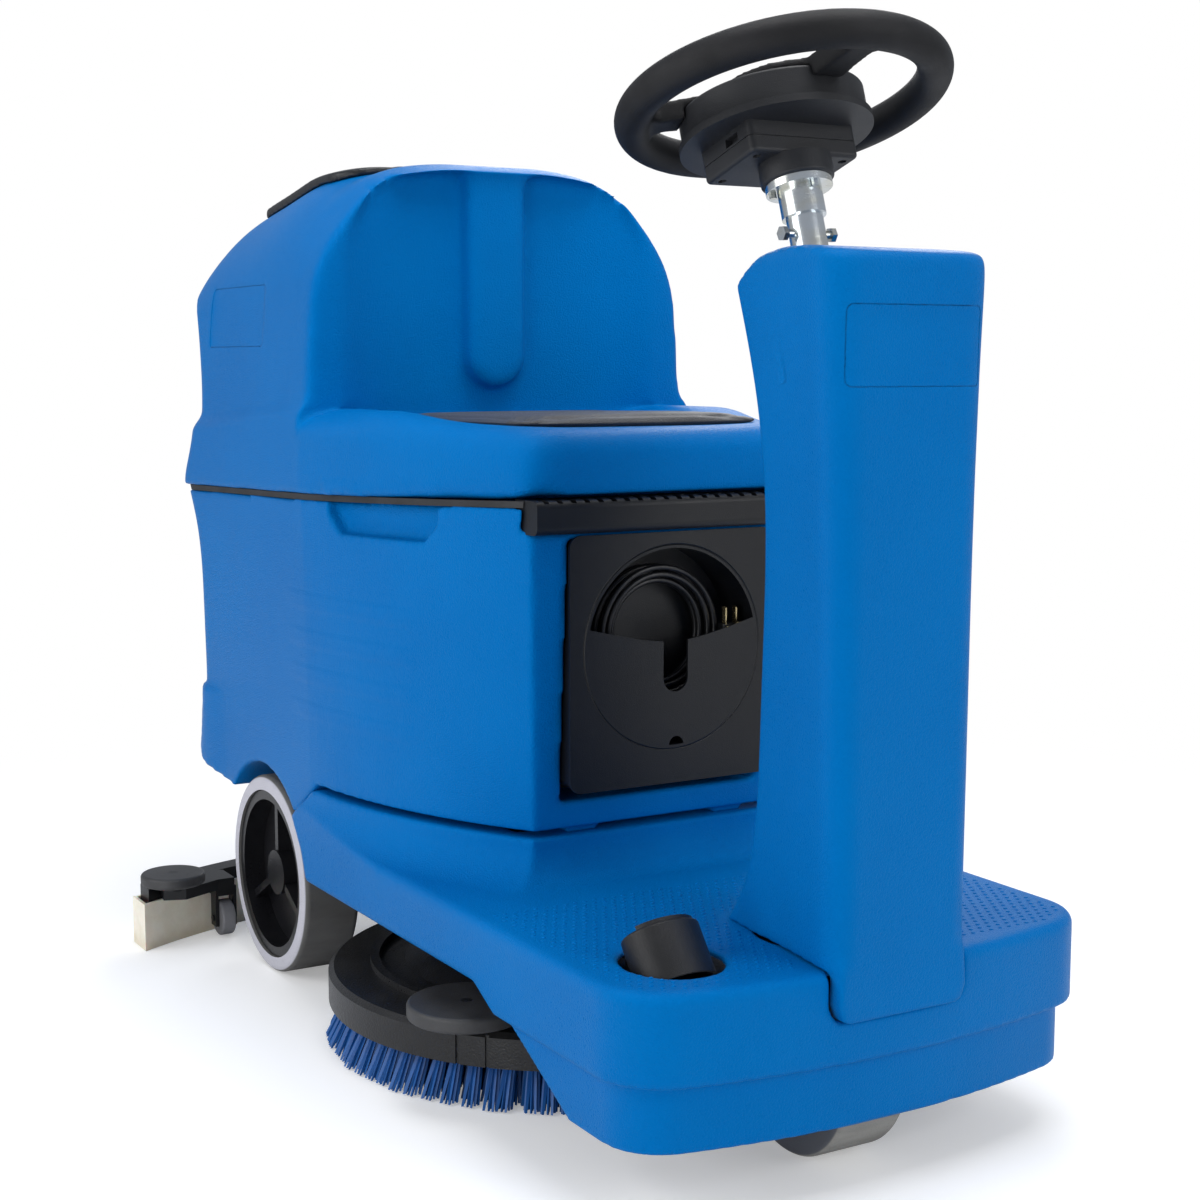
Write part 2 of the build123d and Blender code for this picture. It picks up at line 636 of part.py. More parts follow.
with BuildPart() as brush_motor:
    with BuildSketch(BRUSH_SECTION):
        with BuildLine():
            Polyline(
                (0, BLOCK_Z[1] + GAP),
                (11, BLOCK_Z[1] + GAP),
                (11, DECK_TOP_Z - 7),
                (20 - FIT, DECK_TOP_Z - 7),
                (20 - FIT, DECK_TOP_Z),
                (MOTOR_R - 12, DECK_TOP_Z),
                (MOTOR_R, DECK_TOP_Z + 10),
                (MOTOR_R, 128),
                (MOTOR_R - 10, 132),
                (MOTOR_R - 10, MOTOR_TOP - 8),
                (MOTOR_R - 18, MOTOR_TOP),
                (0, MOTOR_TOP),
                close=True,
            )
        make_face()
    revolve(axis=BRUSH_AXIS)
save(brush_motor, "brush_motor")

with BuildPart() as brush_block:
    with BuildSketch(BRUSH_SECTION):
        with BuildLine():
            Polyline(
                (36, BLOCK_Z[0]),
                (BLOCK_R, BLOCK_Z[0]),
                (BLOCK_R, BLOCK_Z[1] - 6),
                (BLOCK_R - 26, BLOCK_Z[1] - 2),
                (60, BLOCK_Z[1]),
                (36, BLOCK_Z[1]),
                close=True,
            )
        make_face()
    revolve(axis=BRUSH_AXIS)
    with BuildSketch(Plane.XY.offset(BLOCK_Z[0])):
        with Locations((BRUSH_X, aft(BRUSH_Y))):
            Circle(38)
    extrude(amount=BLOCK_Z[1] - BLOCK_Z[0])
save(brush_block, "brush_block")

with BuildPart() as bristles:
    with BuildSketch(BRUSH_SECTION):
        with BuildLine():
            Polyline((122, 0), (BRUSH_R, 0.4), (BLOCK_R - 4, BLOCK_Z[0]), (140, BLOCK_Z[0]), close=True)
        make_face()
    revolve(axis=BRUSH_AXIS)
save(bristles, "bristles")

with BuildPart() as deck_roller:
    with BuildSketch(Plane.XY.offset(ROLLER_Z[0])):
        with Locations((ROLLER[0], aft(ROLLER[1]))):
            Circle(ROLLER_R)
    extrude(amount=ROLLER_Z[1] - ROLLER_Z[0])
    fillet(deck_roller.edges().filter_by(GeomType.CIRCLE), 4)
    with BuildSketch(Plane.XY.offset(ROLLER_Z[0])):
        with Locations((ROLLER[0], aft(ROLLER[1]))):
            Circle(6 + FIT)
    extrude(amount=ROLLER_Z[1] - ROLLER_Z[0], mode=Mode.SUBTRACT)
save(deck_roller, "deck_roller")

with BuildPart() as lift_arms:
    for side in (-1, 1):
        x = BRUSH_X + side * ARM_X
        with BuildSketch(Plane.YZ.offset(x - 4)):
            with BuildLine():
                Polyline(
                    (aft(ARM_PIVOT[0]), ARM_PIVOT[1] + 13),
                    (aft(ARM_FRONT[0]), ARM_FRONT[1] + 13),
                    (aft(ARM_FRONT[0]), ARM_FRONT[1] - 13),
                    (aft(ARM_PIVOT[0]), ARM_PIVOT[1] - 13),
                    close=True,
                )
            make_face()
            with Locations((aft(ARM_PIVOT[0]), ARM_PIVOT[1]), (aft(ARM_FRONT[0]), ARM_FRONT[1])):
                Circle(13)
        extrude(amount=8)
    for pivot in (ARM_PIVOT, ARM_FRONT):
        cylinder_x(PIN_R, 2 * ARM_X, BRUSH_X, aft(pivot[0]), pivot[1])
save(lift_arms, "lift_arms")


# ---------------------------------------------------------------- squeegee
SQUEEGEE_CENTRE = aft(SQUEEGEE_REAR - SQUEEGEE_ARC_R)
SQUEEGEE_BODY_Z = (38.0, 76.0)
SQUEEGEE_BODY_HALF = 352.0
BLADE_T = 4.0
GUIDE_X = 324.0
GUIDE_Y = 145.0
GUIDE_R = 40.0
GUIDE_Z = (84.0, 98.0)
CASTER_X = 250.0
CASTER_Y = 168.0
CASTER_R = 23.0
CASTER_WIDTH = 18.0


def squeegee_arc(radius, width, half, z, height):
    """A strip bowed to the squeegee's arc, centred on a radius and cut at a half length."""
    with BuildSketch(Plane.XY.offset(z)) as strip:
        with Locations((0, SQUEEGEE_CENTRE)):
            Circle(radius + width / 2)
            Circle(radius - width / 2, mode=Mode.SUBTRACT)
        with Locations((0, aft(200))):
            Rectangle(2 * half, 260, mode=Mode.INTERSECT)
    extrude(strip.sketch, amount=height)


with BuildPart() as squeegee_blades:
    for radius in (SQUEEGEE_ARC_R - BLADE_T / 2, SQUEEGEE_ARC_R - 38):
        squeegee_arc(radius, BLADE_T, SQUEEGEE_HALF, 0, SQUEEGEE_BODY_Z[0] + 22)
    # end caps that join the two blades
    for side in (-1, 1):
        with BuildSketch(Plane.XY.offset(0)):
            with Locations((side * (SQUEEGEE_HALF - BLADE_T / 2), aft(SQUEEGEE_REAR - 111))):
                Rectangle(BLADE_T, 46)
        extrude(amount=SQUEEGEE_BODY_Z[0] + 22)
save(squeegee_blades, "squeegee_blades")

with BuildPart() as squeegee_body:
    squeegee_arc(SQUEEGEE_ARC_R - 20, 30, SQUEEGEE_BODY_HALF, SQUEEGEE_BODY_Z[0], 38)
    squeegee_arc(SQUEEGEE_ARC_R - 20, 18, SQUEEGEE_BODY_HALF - 12, SQUEEGEE_BODY_Z[0] - 1, 22)
    for side in (-1, 1):
        with BuildSketch(Plane.XY.offset(SQUEEGEE_BODY_Z[1] - 12)):
            with BuildLine():
                Polyline(
                    (side * (GUIDE_X - 12), aft(GUIDE_Y - 14)),
                    (side * (GUIDE_X + 14), aft(GUIDE_Y - 4)),
                    (side * 330, aft(190)),
                    (side * 270, aft(208)),
                    (side * 240, aft(CASTER_Y + 30)),
                    (side * 240, aft(CASTER_Y - 14)),
                    (side * 262, aft(CASTER_Y - 14)),
                    close=True,
                )
            make_face()
        extrude(amount=14)
        with BuildSketch(Plane.XY.offset(SQUEEGEE_BODY_Z[1])):
            with Locations((side * GUIDE_X, aft(GUIDE_Y))):
                Circle(14)
        extrude(amount=GUIDE_Z[0] - GAP - SQUEEGEE_BODY_Z[1])
        with BuildSketch(Plane.XY.offset(SQUEEGEE_BODY_Z[1])):
            with Locations((side * GUIDE_X, aft(GUIDE_Y))):
                Circle(6)
        extrude(amount=GUIDE_Z[1] - SQUEEGEE_BODY_Z[1])
        # caster fork: two cheeks and a pin
        for cheek in (-1, 1):
            x = side * CASTER_X + cheek * (CASTER_WIDTH / 2 + 3)
            block((x - 2, x + 2), (aft(CASTER_Y - 9), aft(CASTER_Y + 9)), (14, SQUEEGEE_BODY_Z[1] - 10))
        block(
            (side * CASTER_X - CASTER_WIDTH / 2 - 5, side * CASTER_X + CASTER_WIDTH / 2 + 5),
            (aft(CASTER_Y - 9), aft(CASTER_Y + 24)),
            (54, SQUEEGEE_BODY_Z[1] - 10),
        )
        cylinder_x(4, CASTER_WIDTH + 14, side * CASTER_X, aft(CASTER_Y), CASTER_R + 1)
    # suction port and two mounting studs
    with BuildSketch(Plane.XY.offset(SQUEEGEE_BODY_Z[1] - 1)):
        with Locations((0, SQUEEGEE_CENTRE + SQUEEGEE_ARC_R - 20)):
            Circle(24)
            Circle(19, mode=Mode.SUBTRACT)
    extrude(amount=40)
save(squeegee_body, "squeegee_body")


def small_wheel(radius, bore, width, x, y, z):
    with BuildPart() as wheel:
        wheel_ring(radius, bore, width, x, y, z, 3)
    return wheel


for label, side in (("left", 1), ("right", -1)):
    caster = small_wheel(CASTER_R, 4 + FIT, CASTER_WIDTH, side * CASTER_X, aft(CASTER_Y), CASTER_R + 1)
    save(caster, f"squeegee_caster_{label}")
    with BuildPart() as guide_roller:
        with BuildSketch(Plane.XY.offset(GUIDE_Z[0])):
            with Locations((side * GUIDE_X, aft(GUIDE_Y))):
                Circle(GUIDE_R)
        extrude(amount=GUIDE_Z[1] - GUIDE_Z[0])
        fillet(guide_roller.edges().filter_by(GeomType.CIRCLE), 4)
        with BuildSketch(Plane.XY.offset(GUIDE_Z[0])):
            with Locations((side * GUIDE_X, aft(GUIDE_Y))):
                Circle(6 + FIT)
        extrude(amount=GUIDE_Z[1] - GUIDE_Z[0], mode=Mode.SUBTRACT)
    save(guide_roller, f"guide_roller_{label}")

SWING_R = 14.0
with BuildPart() as squeegee_pivot:
    with BuildSketch(Plane.XY.offset(SQUEEGEE_PIVOT_Z - 16)):
        with Locations((0, aft(SQUEEGEE_PIVOT_Y))):
            Circle(SWING_R + 10)
    extrude(amount=POST_Z - GAP - SQUEEGEE_PIVOT_Z + 16)
    cylinder_x(PIN_R, 92, 0, aft(SQUEEGEE_PIVOT_Y), SQUEEGEE_PIVOT_Z)
    with BuildSketch(Plane.XY.offset(POST_Z - GAP)):
        with Locations((0, aft(SQUEEGEE_PIVOT_Y))):
            Circle(SWING_PIN_R)
    extrude(amount=SWING_PIN)
save(squeegee_pivot, "squeegee_pivot")

with BuildPart() as squeegee_arm:
    for side in (-1, 1):
        x = side * 34
        with BuildSketch(Plane.YZ.offset(x - 4)):
            with BuildLine():
                Polyline(
                    (aft(SQUEEGEE_PIVOT_Y), SQUEEGEE_PIVOT_Z + 13),
                    (aft(190), 100),
                    (aft(246), 92),
                    (aft(276), 84),
                    (aft(276), SQUEEGEE_BODY_Z[1]),
                    (aft(206), SQUEEGEE_BODY_Z[1]),
                    (aft(SQUEEGEE_PIVOT_Y), SQUEEGEE_PIVOT_Z - 13),
                    close=True,
                )
            make_face()
            with Locations((aft(SQUEEGEE_PIVOT_Y), SQUEEGEE_PIVOT_Z)):
                Circle(13)
        extrude(amount=8)
    block((-34, 34), (aft(196), aft(212)), (SQUEEGEE_BODY_Z[1] + 4, 98))
    cylinder_x(PIN_R + FIT, 100, 0, aft(SQUEEGEE_PIVOT_Y), SQUEEGEE_PIVOT_Z, Mode.SUBTRACT)
save(squeegee_arm, "squeegee_arm")


# ---------------------------------------------------------------- steering wheel and console
HUB_SECTION = Plane(
    origin=HUB_PLANE.origin, x_dir=(1, 0, 0), z_dir=(0, -cos(radians(POLE_TILT)), sin(radians(POLE_TILT)))
)
POLE_AXIS = Axis(HUB_PLANE.origin, POLE_DIR)
DRUM_R = 87.0
DRUM_Y = 20.0
DRUM_H = (-32.0, 3.0)
BOX_HALF = 60.0
BOX_Y = (-21.0, 61.0)
BOX_H = -62.0
COLLAR_H = -82.0

with BuildPart() as steering_wheel:
    with BuildSketch(HUB_SECTION):
        with Locations((STEER_RIM_R, 0)):
            Circle(STEER_TUBE_R)
    revolve(axis=POLE_AXIS)
    for turn in (30, 150, 270):
        with BuildSketch(hub_plane(-9, turn)):
            with BuildLine():
                Polyline((52, -17), (116, -14), (134, -30), (134, 30), (116, 14), (52, 17), close=True)
            make_face()
        extrude(amount=20)
    with BuildSketch(HUB_PLANE.offset(DRUM_H[1] + GAP)):
        Circle(62)
    extrude(amount=9)
    with BuildSketch(HUB_PLANE.offset(-14)):
        with Locations((0, DRUM_Y)):
            Circle(DRUM_R + 0.4)
    extrude(amount=14 + DRUM_H[1] + 0.2, mode=Mode.SUBTRACT)
save(steering_wheel, "steering_wheel")

KEY_AT = (40.0, 86.0)
KNOB_AT = (0.0, 88.0)
HORN_AT = (-34.0, 88.0)
BRUSH_BUTTON_AT = (-54.0, 74.0)
KEY_R = 5.0
KNOB_SHAFT_R = 4.0
BUTTON_R = 8.0
BUTTON_TRAVEL = 2.5
SCREWS_AT = ((-48, -9), (48, -9), (-48, 49), (48, 49))

with BuildPart() as console_drum:
    with BuildSketch(HUB_PLANE.offset(DRUM_H[0])):
        with Locations((0, DRUM_Y)):
            Circle(DRUM_R)
    extrude(amount=DRUM_H[1] - DRUM_H[0])
    fillet(console_drum.edges().sort_by(Axis.Z)[-1], 3)
    with BuildSketch(HUB_PLANE.offset(DRUM_H[0])):
        with Locations((0, DRUM_Y)):
            Circle(DRUM_R + 4)
    extrude(amount=7)
    for place, radius, depth in (
        (KEY_AT, KEY_R + FIT, 10),
        (KNOB_AT, KNOB_SHAFT_R + FIT, 10),
        (HORN_AT, BUTTON_R + GAP, 9),
        (BRUSH_BUTTON_AT, BUTTON_R + GAP, 9),
    ):
        with BuildSketch(HUB_PLANE.offset(DRUM_H[1] - depth)):
            with Locations(place):
                Circle(radius)
        extrude(amount=depth + 4, mode=Mode.SUBTRACT)
save(console_drum, "console_drum")

with BuildPart() as console_box:
    with BuildSketch(HUB_PLANE.offset(BOX_H)):
        with Locations((0, (BOX_Y[0] + BOX_Y[1]) / 2)):
            RectangleRounded(2 * BOX_HALF, BOX_Y[1] - BOX_Y[0], 6)
    extrude(amount=DRUM_H[0] - BOX_H)
    fillet(console_box.faces().sort_by(POLE_AXIS)[0].edges(), 4)
    # seam round the box, and a slot in its driver's-right side
    with BuildSketch(HUB_PLANE.offset(-47)):
        with Locations((0, (BOX_Y[0] + BOX_Y[1]) / 2)):
            RectangleRounded(2 * BOX_HALF + 2, BOX_Y[1] - BOX_Y[0] + 2, 6)
            RectangleRounded(2 * BOX_HALF - 2, BOX_Y[1] - BOX_Y[0] - 2, 5, mode=Mode.SUBTRACT)
    extrude(amount=1.2, mode=Mode.SUBTRACT)
    with BuildSketch(HUB_PLANE.offset(-44)):
        with Locations((-BOX_HALF, 8)):
            Rectangle(16, 20)
    extrude(amount=8, mode=Mode.SUBTRACT)
    with BuildSketch(HUB_PLANE.offset(COLLAR_H)):
        Circle(2 * POLE_R)
    extrude(amount=BOX_H - COLLAR_H + 1)
    fillet(console_box.faces().sort_by(POLE_AXIS)[0].edges(), 3)
    for place in SCREWS_AT:
        with BuildSketch(HUB_PLANE.offset(BOX_H)):
            with Locations(place):
                Circle(4)
        extrude(amount=6, mode=Mode.SUBTRACT)
    with BuildSketch(HUB_PLANE.offset(COLLAR_H - 1)):
        Circle(POLE_R + FIT)
    extrude(amount=COLLAR_H * -1 - 40, mode=Mode.SUBTRACT)
save(console_box, "console_box")

with BuildPart() as console_screws:
    for place in SCREWS_AT:
        with BuildSketch(HUB_PLANE.offset(BOX_H + 2)):
            with Locations(place):
                Circle(3.6)
                RegularPolygon(1.6, 6, mode=Mode.SUBTRACT)
        extrude(amount=4)
save(console_screws, "console_screws")

FLANGE_H = -89.0
BOLT_CIRCLE = 24.0
CROSS_BOLT_H = -131.0
with BuildPart() as steering_pole:
    with BuildSketch(HUB_PLANE.offset(-BUSHING_TOP - BUSHING_LENGTH - 2)):
        Circle(POLE_R)
    extrude(amount=BUSHING_TOP + BUSHING_LENGTH + 2 - 43)
    with BuildSketch(HUB_PLANE.offset(-JOINT_DROP + 6)):
        Circle(8)
    extrude(amount=JOINT_DROP - BUSHING_TOP - BUSHING_LENGTH - 4)
    with Locations((0, STEER_AXIS_Y, JOINT_Z)):
        Sphere(BALL_R)
    with BuildSketch(Plane.YZ.offset(-40)):
        with Locations((HUB_PLANE.offset(CROSS_BOLT_H).origin.Y, HUB_PLANE.offset(CROSS_BOLT_H).origin.Z)):
            Circle(4 + FIT)
    extrude(amount=80, mode=Mode.SUBTRACT)
save(steering_pole, "steering_pole")

with BuildPart() as pole_flange:
    with BuildSketch(HUB_PLANE.offset(FLANGE_H)):
        Circle(BOLT_CIRCLE + 7)
        Circle(POLE_R + FIT, mode=Mode.SUBTRACT)
    extrude(amount=COLLAR_H - FLANGE_H)
    with BuildSketch(HUB_PLANE.offset(FLANGE_H - 26)):
        Circle(POLE_R + 3.5)
        Circle(POLE_R + FIT, mode=Mode.SUBTRACT)
    extrude(amount=26)
    for turn in (30, 150, 270):
        with BuildSketch(hub_plane(FLANGE_H - 1, turn)):
            with Locations((BOLT_CIRCLE + 1, 0)):
                Circle(2.6)
        extrude(amount=COLLAR_H - FLANGE_H + 2, mode=Mode.SUBTRACT)
save(pole_flange, "pole_flange")

with BuildPart() as pole_bolts:
    for turn in (30, 150, 270):
        with BuildSketch(hub_plane(FLANGE_H - 4, turn)):
            with Locations((BOLT_CIRCLE + 1, 0)):
                RegularPolygon(3.4, 6)
        extrude(amount=4)
    cross = HUB_PLANE.offset(CROSS_BOLT_H).origin
    cylinder_x(4, 52, 0, cross.Y, cross.Z)
    for x in (-27, 27):
        with BuildSketch(Plane.YZ.offset(x - 2.5)):
            with Locations((cross.Y, cross.Z)):
                RegularPolygon(7, 6)
        extrude(amount=5)
save(pole_bolts, "pole_bolts")

with BuildPart() as pole_bushing:
    with BuildSketch(HUB_PLANE.offset(-BUSHING_TOP - BUSHING_LENGTH)):
        Circle(BUSHING_R)
        Circle(POLE_R + FIT, mode=Mode.SUBTRACT)
    extrude(amount=BUSHING_LENGTH)
save(pole_bushing, "pole_bushing")

with BuildPart() as ignition_key:
    with BuildSketch(HUB_PLANE.offset(DRUM_H[1] - 9)):
        with Locations(KEY_AT):
            Circle(KEY_R)
    extrude(amount=15)
    with BuildSketch(HUB_PLANE.offset(DRUM_H[1] + 5)):
        with Locations(KEY_AT):
            RectangleRounded(20, 4, 1.5)
    extrude(amount=16)
save(ignition_key, "ignition_key")

with BuildPart() as speed_knob:
    with BuildSketch(HUB_PLANE.offset(DRUM_H[1] - 9)):
        with Locations(KNOB_AT):
            Circle(KNOB_SHAFT_R)
    extrude(amount=12)
    with BuildSketch(HUB_PLANE.offset(DRUM_H[1] + GAP)):
        with Locations(KNOB_AT):
            RegularPolygon(13, 12)
    extrude(amount=12)
    with BuildSketch(HUB_PLANE.offset(DRUM_H[1] + 12)):
        with Locations((KNOB_AT[0], KNOB_AT[1] + 8)):
            Rectangle(2, 8)
    extrude(amount=2)
save(speed_knob, "speed_knob")

for label, place in (("horn_button", HORN_AT), ("brush_button", BRUSH_BUTTON_AT)):
    with BuildPart() as button:
        with BuildSketch(HUB_PLANE.offset(DRUM_H[1] - 9 + BUTTON_TRAVEL + GAP)):
            with Locations(place):
                Circle(BUTTON_R)
        extrude(amount=9)
        fillet(button.edges().filter_by(GeomType.CIRCLE), 1.2)
    save(button, label)


# ---------------------------------------------------------------- solution tank
BATTERY = (172.0, 330.0, 240.0)
BAY_X = BATTERY[0] + 12
BAY_Y = (-366.0, -18.0)
BAY_FLOOR = 290.0
VACUUM_BAY_X = 84.0
VACUUM_BAY_Y = (24.0, 198.0)
CHARGE_BAY_X = 122.0
CHARGE_BAY_Y = (-600.0, -378.0)
CHARGE_BAY_Z = (290.0, 562.0)
TANK_SECTIONS = (
    (190.0, 242.0), (300.0, 242.0), (340.0, 238.0), (450.0, 238.0), (520.0, 247.0), (570.0, 271.0),
    (640.0, 284.0),
)
HANDLE_Y = (-400.0, -216.0)
HANDLE_Z = 553.0
HANDLE_CORNER = 22.0
HANDLE_DEPTH = 15.0
ARCH_R = 137.0
ARCH_X = 172.0
TRIM_X = 167.0
TRIM_Z = (568.0, 602.0)
TRIM_FRONT = 532.0
TRIM_REAR = 486.0
TANK_HINGE_Y = 285.0
TANK_HINGE_Z = 577.5
KNUCKLE_R = 8.0
HINGE_PIN_R = 4.0
KNUCKLE_X = (150.0, 170.0)   # knuckles of the solution tank, and beside them the recovery tank's
UPPER_KNUCKLE_X = (170.5, 190.5)


def handle_cut(inset):
    """Space of the two hand recesses, with the wall round them for a positive inset."""
    low = HANDLE_Z - inset
    with BuildPart() as cut:
        with BuildSketch(Plane.YZ) as scoop:
            with BuildLine():
                Polyline(
                    (aft(HANDLE_Y[0] - inset), 640),
                    (aft(HANDLE_Y[0] - inset), low + HANDLE_CORNER),
                    (aft(HANDLE_Y[0] + HANDLE_CORNER - inset), low),
                    (aft(HANDLE_Y[1] - HANDLE_CORNER + inset), low),
                    (aft(HANDLE_Y[1] + inset), low + HANDLE_CORNER),
                    (aft(HANDLE_Y[1] + inset), 640),
                    close=True,
                )
            make_face()
        extrude(scoop.sketch, amount=300, both=True)
        extrude(body_plan(HANDLE_Z - 20, -HANDLE_DEPTH - inset), amount=120, mode=Mode.SUBTRACT)
    return cut.part


def tank_knuckles(limits, stand):
    """Two hinge knuckles at the rear of the lid line, each bored for its pin."""
    for side in (-1, 1):
        x = side * sum(limits) / 2
        half = (limits[1] - limits[0]) / 2
        cylinder_x(KNUCKLE_R, 2 * half, x, aft(TANK_HINGE_Y), TANK_HINGE_Z)
        block((x - half, x + half), (aft(TANK_HINGE_Y - 22), aft(TANK_HINGE_Y)), stand)
        cylinder_x(HINGE_PIN_R + FIT, 4 * half, x, aft(TANK_HINGE_Y), TANK_HINGE_Z, Mode.SUBTRACT)


def tank_bottom(inset):
    """Side view of the solution tank under its lid line."""
    with BuildSketch(Plane.YZ) as side:
        with BuildLine():
            Polyline(
                (aft(-700), BODY_Z + inset),
                (aft(-171), BODY_Z + inset),
                (aft(-112), 221 + inset),
                (aft(-60), TANK_FLOOR_Z + inset),
                (aft(105), TANK_FLOOR_Z + inset),
                (aft(189), 221 + inset),
                (aft(228), 233 + inset),
                (aft(300), 262 + inset),
                (aft(300), 700),
                (aft(-700), 700),
                close=True,
            )
        make_face()
    return side.sketch


def tank_form(inset):
    with BuildPart() as form:
        loft([body_plan(z, -inset, rear) for z, rear in TANK_SECTIONS])
        extrude(tank_bottom(inset), amount=400, both=True, mode=Mode.INTERSECT)
        for side in (-1, 1):
            middle = side * (ARCH_X + 150 - inset)
            cylinder_x(ARCH_R + inset, 300, middle, aft(0), REAR_WHEEL_R, Mode.SUBTRACT)
        add(handle_cut(inset), mode=Mode.SUBTRACT)
        block(
            (-TRIM_X - inset, TRIM_X + inset),
            (aft(-700), aft(-TRIM_REAR + inset)),
            (TRIM_Z[0] - inset, 700),
            Mode.SUBTRACT,
        )
        split(bisect_by=PARTING.offset(-inset), keep=Keep.BOTTOM)
    return form.part


solution_outer = tank_form(0)
solution_inner = tank_form(WALL)

with BuildPart() as bay_walls:
    block(
        (-BAY_X - WALL, BAY_X + WALL),
        (aft(BAY_Y[0] - WALL), aft(BAY_Y[1] + WALL)),
        (BAY_FLOOR - WALL, 700),
    )
    block(
        (-VACUUM_BAY_X - WALL, VACUUM_BAY_X + WALL),
        (aft(VACUUM_BAY_Y[0] - WALL), aft(VACUUM_BAY_Y[1] + WALL)),
        (BAY_FLOOR - WALL, 700),
    )
    block(
        (-CHARGE_BAY_X - WALL, CHARGE_BAY_X + WALL),
        (aft(CHARGE_BAY_Y[0]), aft(CHARGE_BAY_Y[1] + WALL)),
        (CHARGE_BAY_Z[0] - WALL, CHARGE_BAY_Z[1] + WALL),
    )
    add(solution_outer, mode=Mode.INTERSECT)

with BuildPart() as solution_tank:
    add(solution_outer)
    add(solution_inner, mode=Mode.SUBTRACT)
    add(bay_walls.part)
    block((-BAY_X, BAY_X), (aft(BAY_Y[0]), aft(BAY_Y[1])), (BAY_FLOOR, 700), Mode.SUBTRACT)
    block(
        (-VACUUM_BAY_X, VACUUM_BAY_X),
        (aft(VACUUM_BAY_Y[0]), aft(VACUUM_BAY_Y[1])),
        (BAY_FLOOR, 700),
        Mode.SUBTRACT,
    )
    block(
        (-CHARGE_BAY_X, CHARGE_BAY_X),
        (aft(CHARGE_BAY_Y[0]), aft(CHARGE_BAY_Y[1])),
        CHARGE_BAY_Z,
        Mode.SUBTRACT,
    )
    # filler opening, reached with the recovery tank tipped back
    with BuildSketch(Plane.XY.offset(540)):
        with Locations((165, aft(110))):
            Circle(30)
    extrude(amount=60, mode=Mode.SUBTRACT)
    tank_knuckles(KNUCKLE_X, (560, TANK_HINGE_Z - 4.5))
    # feet that stand on the platform's pedestal
    for x, y in ((-205, -240), (205, -240), (-90, -474), (90, -474)):
        block((x - 18, x + 18), (aft(y - 12), aft(y + 12)), (LEDGE_Z, BODY_Z + 1))
save(solution_tank, "solution_tank")

for label, side in (("left", 1), ("right", -1)):
    with BuildPart() as battery:
        x = side * (BATTERY[0] / 2 + 4)
        with BuildSketch(Plane.XY.offset(BAY_FLOOR)):
            with Locations((x, aft(sum(BAY_Y) / 2))):
                RectangleRounded(BATTERY[0], BATTERY[1], 5)
        extrude(amount=BATTERY[2])
        with BuildSketch(Plane.XY.offset(BAY_FLOOR + BATTERY[2] - 1)):
            with Locations((x, aft(sum(BAY_Y) / 2))):
                with GridLocations(110, 270, 2, 2):
                    Circle(9)
        extrude(amount=16)
    save(battery, f"battery_{label}")

with BuildPart() as vacuum_motor:
    with BuildSketch(Plane.XY.offset(BAY_FLOOR)):
        with Locations((0, aft(sum(VACUUM_BAY_Y) / 2))):
            Circle(72)
    extrude(amount=70)
    with BuildSketch(Plane.XY.offset(BAY_FLOOR + 70)):
        with Locations((0, aft(sum(VACUUM_BAY_Y) / 2))):
            Circle(50)
    extrude(amount=80)
    with BuildSketch(Plane.XY.offset(BAY_FLOOR + 150)):
        with Locations((0, aft(sum(VACUUM_BAY_Y) / 2))):
            Circle(24)
            Circle(18, mode=Mode.SUBTRACT)
    extrude(amount=90)
save(vacuum_motor, "vacuum_motor")


# ---------------------------------------------------------------- front panel, pocket and trim
PANEL_X = 123.0
PANEL_Z = (302.0, 565.0)
PANEL_T = 3.5
TUB_WALL = 3.0
COVER_Z = 452.0
with BuildPart() as front_panel:
    with BuildSketch(Plane.XZ.offset(-aft(-PANEL_FRONT + PANEL_T))):
        with Locations((0, sum(PANEL_Z) / 2)):
            RectangleRounded(2 * PANEL_X, PANEL_Z[1] - PANEL_Z[0], 13)
    extrude(amount=PANEL_T)
    # rim that tucks into the tank's front opening
    with BuildSketch(Plane.XZ.offset(-aft(-PANEL_FRONT + 34))):
        with Locations((0, sum(PANEL_Z) / 2)):
            RectangleRounded(2 * PANEL_X - 6, PANEL_Z[1] - PANEL_Z[0] - 6, 10)
            RectangleRounded(2 * PANEL_X - 12, PANEL_Z[1] - PANEL_Z[0] - 12, 8, mode=Mode.SUBTRACT)
    extrude(amount=31)
    with BuildSketch(Plane.XZ.offset(-aft(-PANEL_FRONT + POCKET_DEPTH))):
        with Locations((0, POCKET_Z)):
            Circle(POCKET_R + TUB_WALL)
    extrude(amount=POCKET_DEPTH - 1)
    with BuildSketch(Plane.XZ.offset(-aft(-PANEL_FRONT + POCKET_DEPTH - TUB_WALL))):
        with Locations((0, POCKET_Z)):
            Circle(POCKET_R)
    extrude(amount=POCKET_DEPTH, mode=Mode.SUBTRACT)
save(front_panel, "front_panel")

with BuildPart() as pocket_cover:
    with BuildSketch(Plane.XZ.offset(-aft(-PANEL_FRONT + 3))):
        with Locations((0, POCKET_Z)):
            Circle(POCKET_R)
        with BuildSketch(mode=Mode.INTERSECT):
            with BuildLine():
                Spline(
                    (-112, COVER_Z + 20),
                    (-48, COVER_Z + 5),
                    (3, COVER_Z - 1),
                    (54, COVER_Z + 6),
                    (112, COVER_Z + 21),
                )
                Polyline((112, COVER_Z + 21), (112, 300), (-112, 300), (-112, COVER_Z + 20))
            make_face()
        with Locations((3, 438)):
            SlotOverall(80, 30, rotation=90, mode=Mode.SUBTRACT)
        with Locations((4, POCKET_Z - POCKET_R)):
            Circle(9, mode=Mode.SUBTRACT)
    extrude(amount=3)
save(pocket_cover, "pocket_cover")

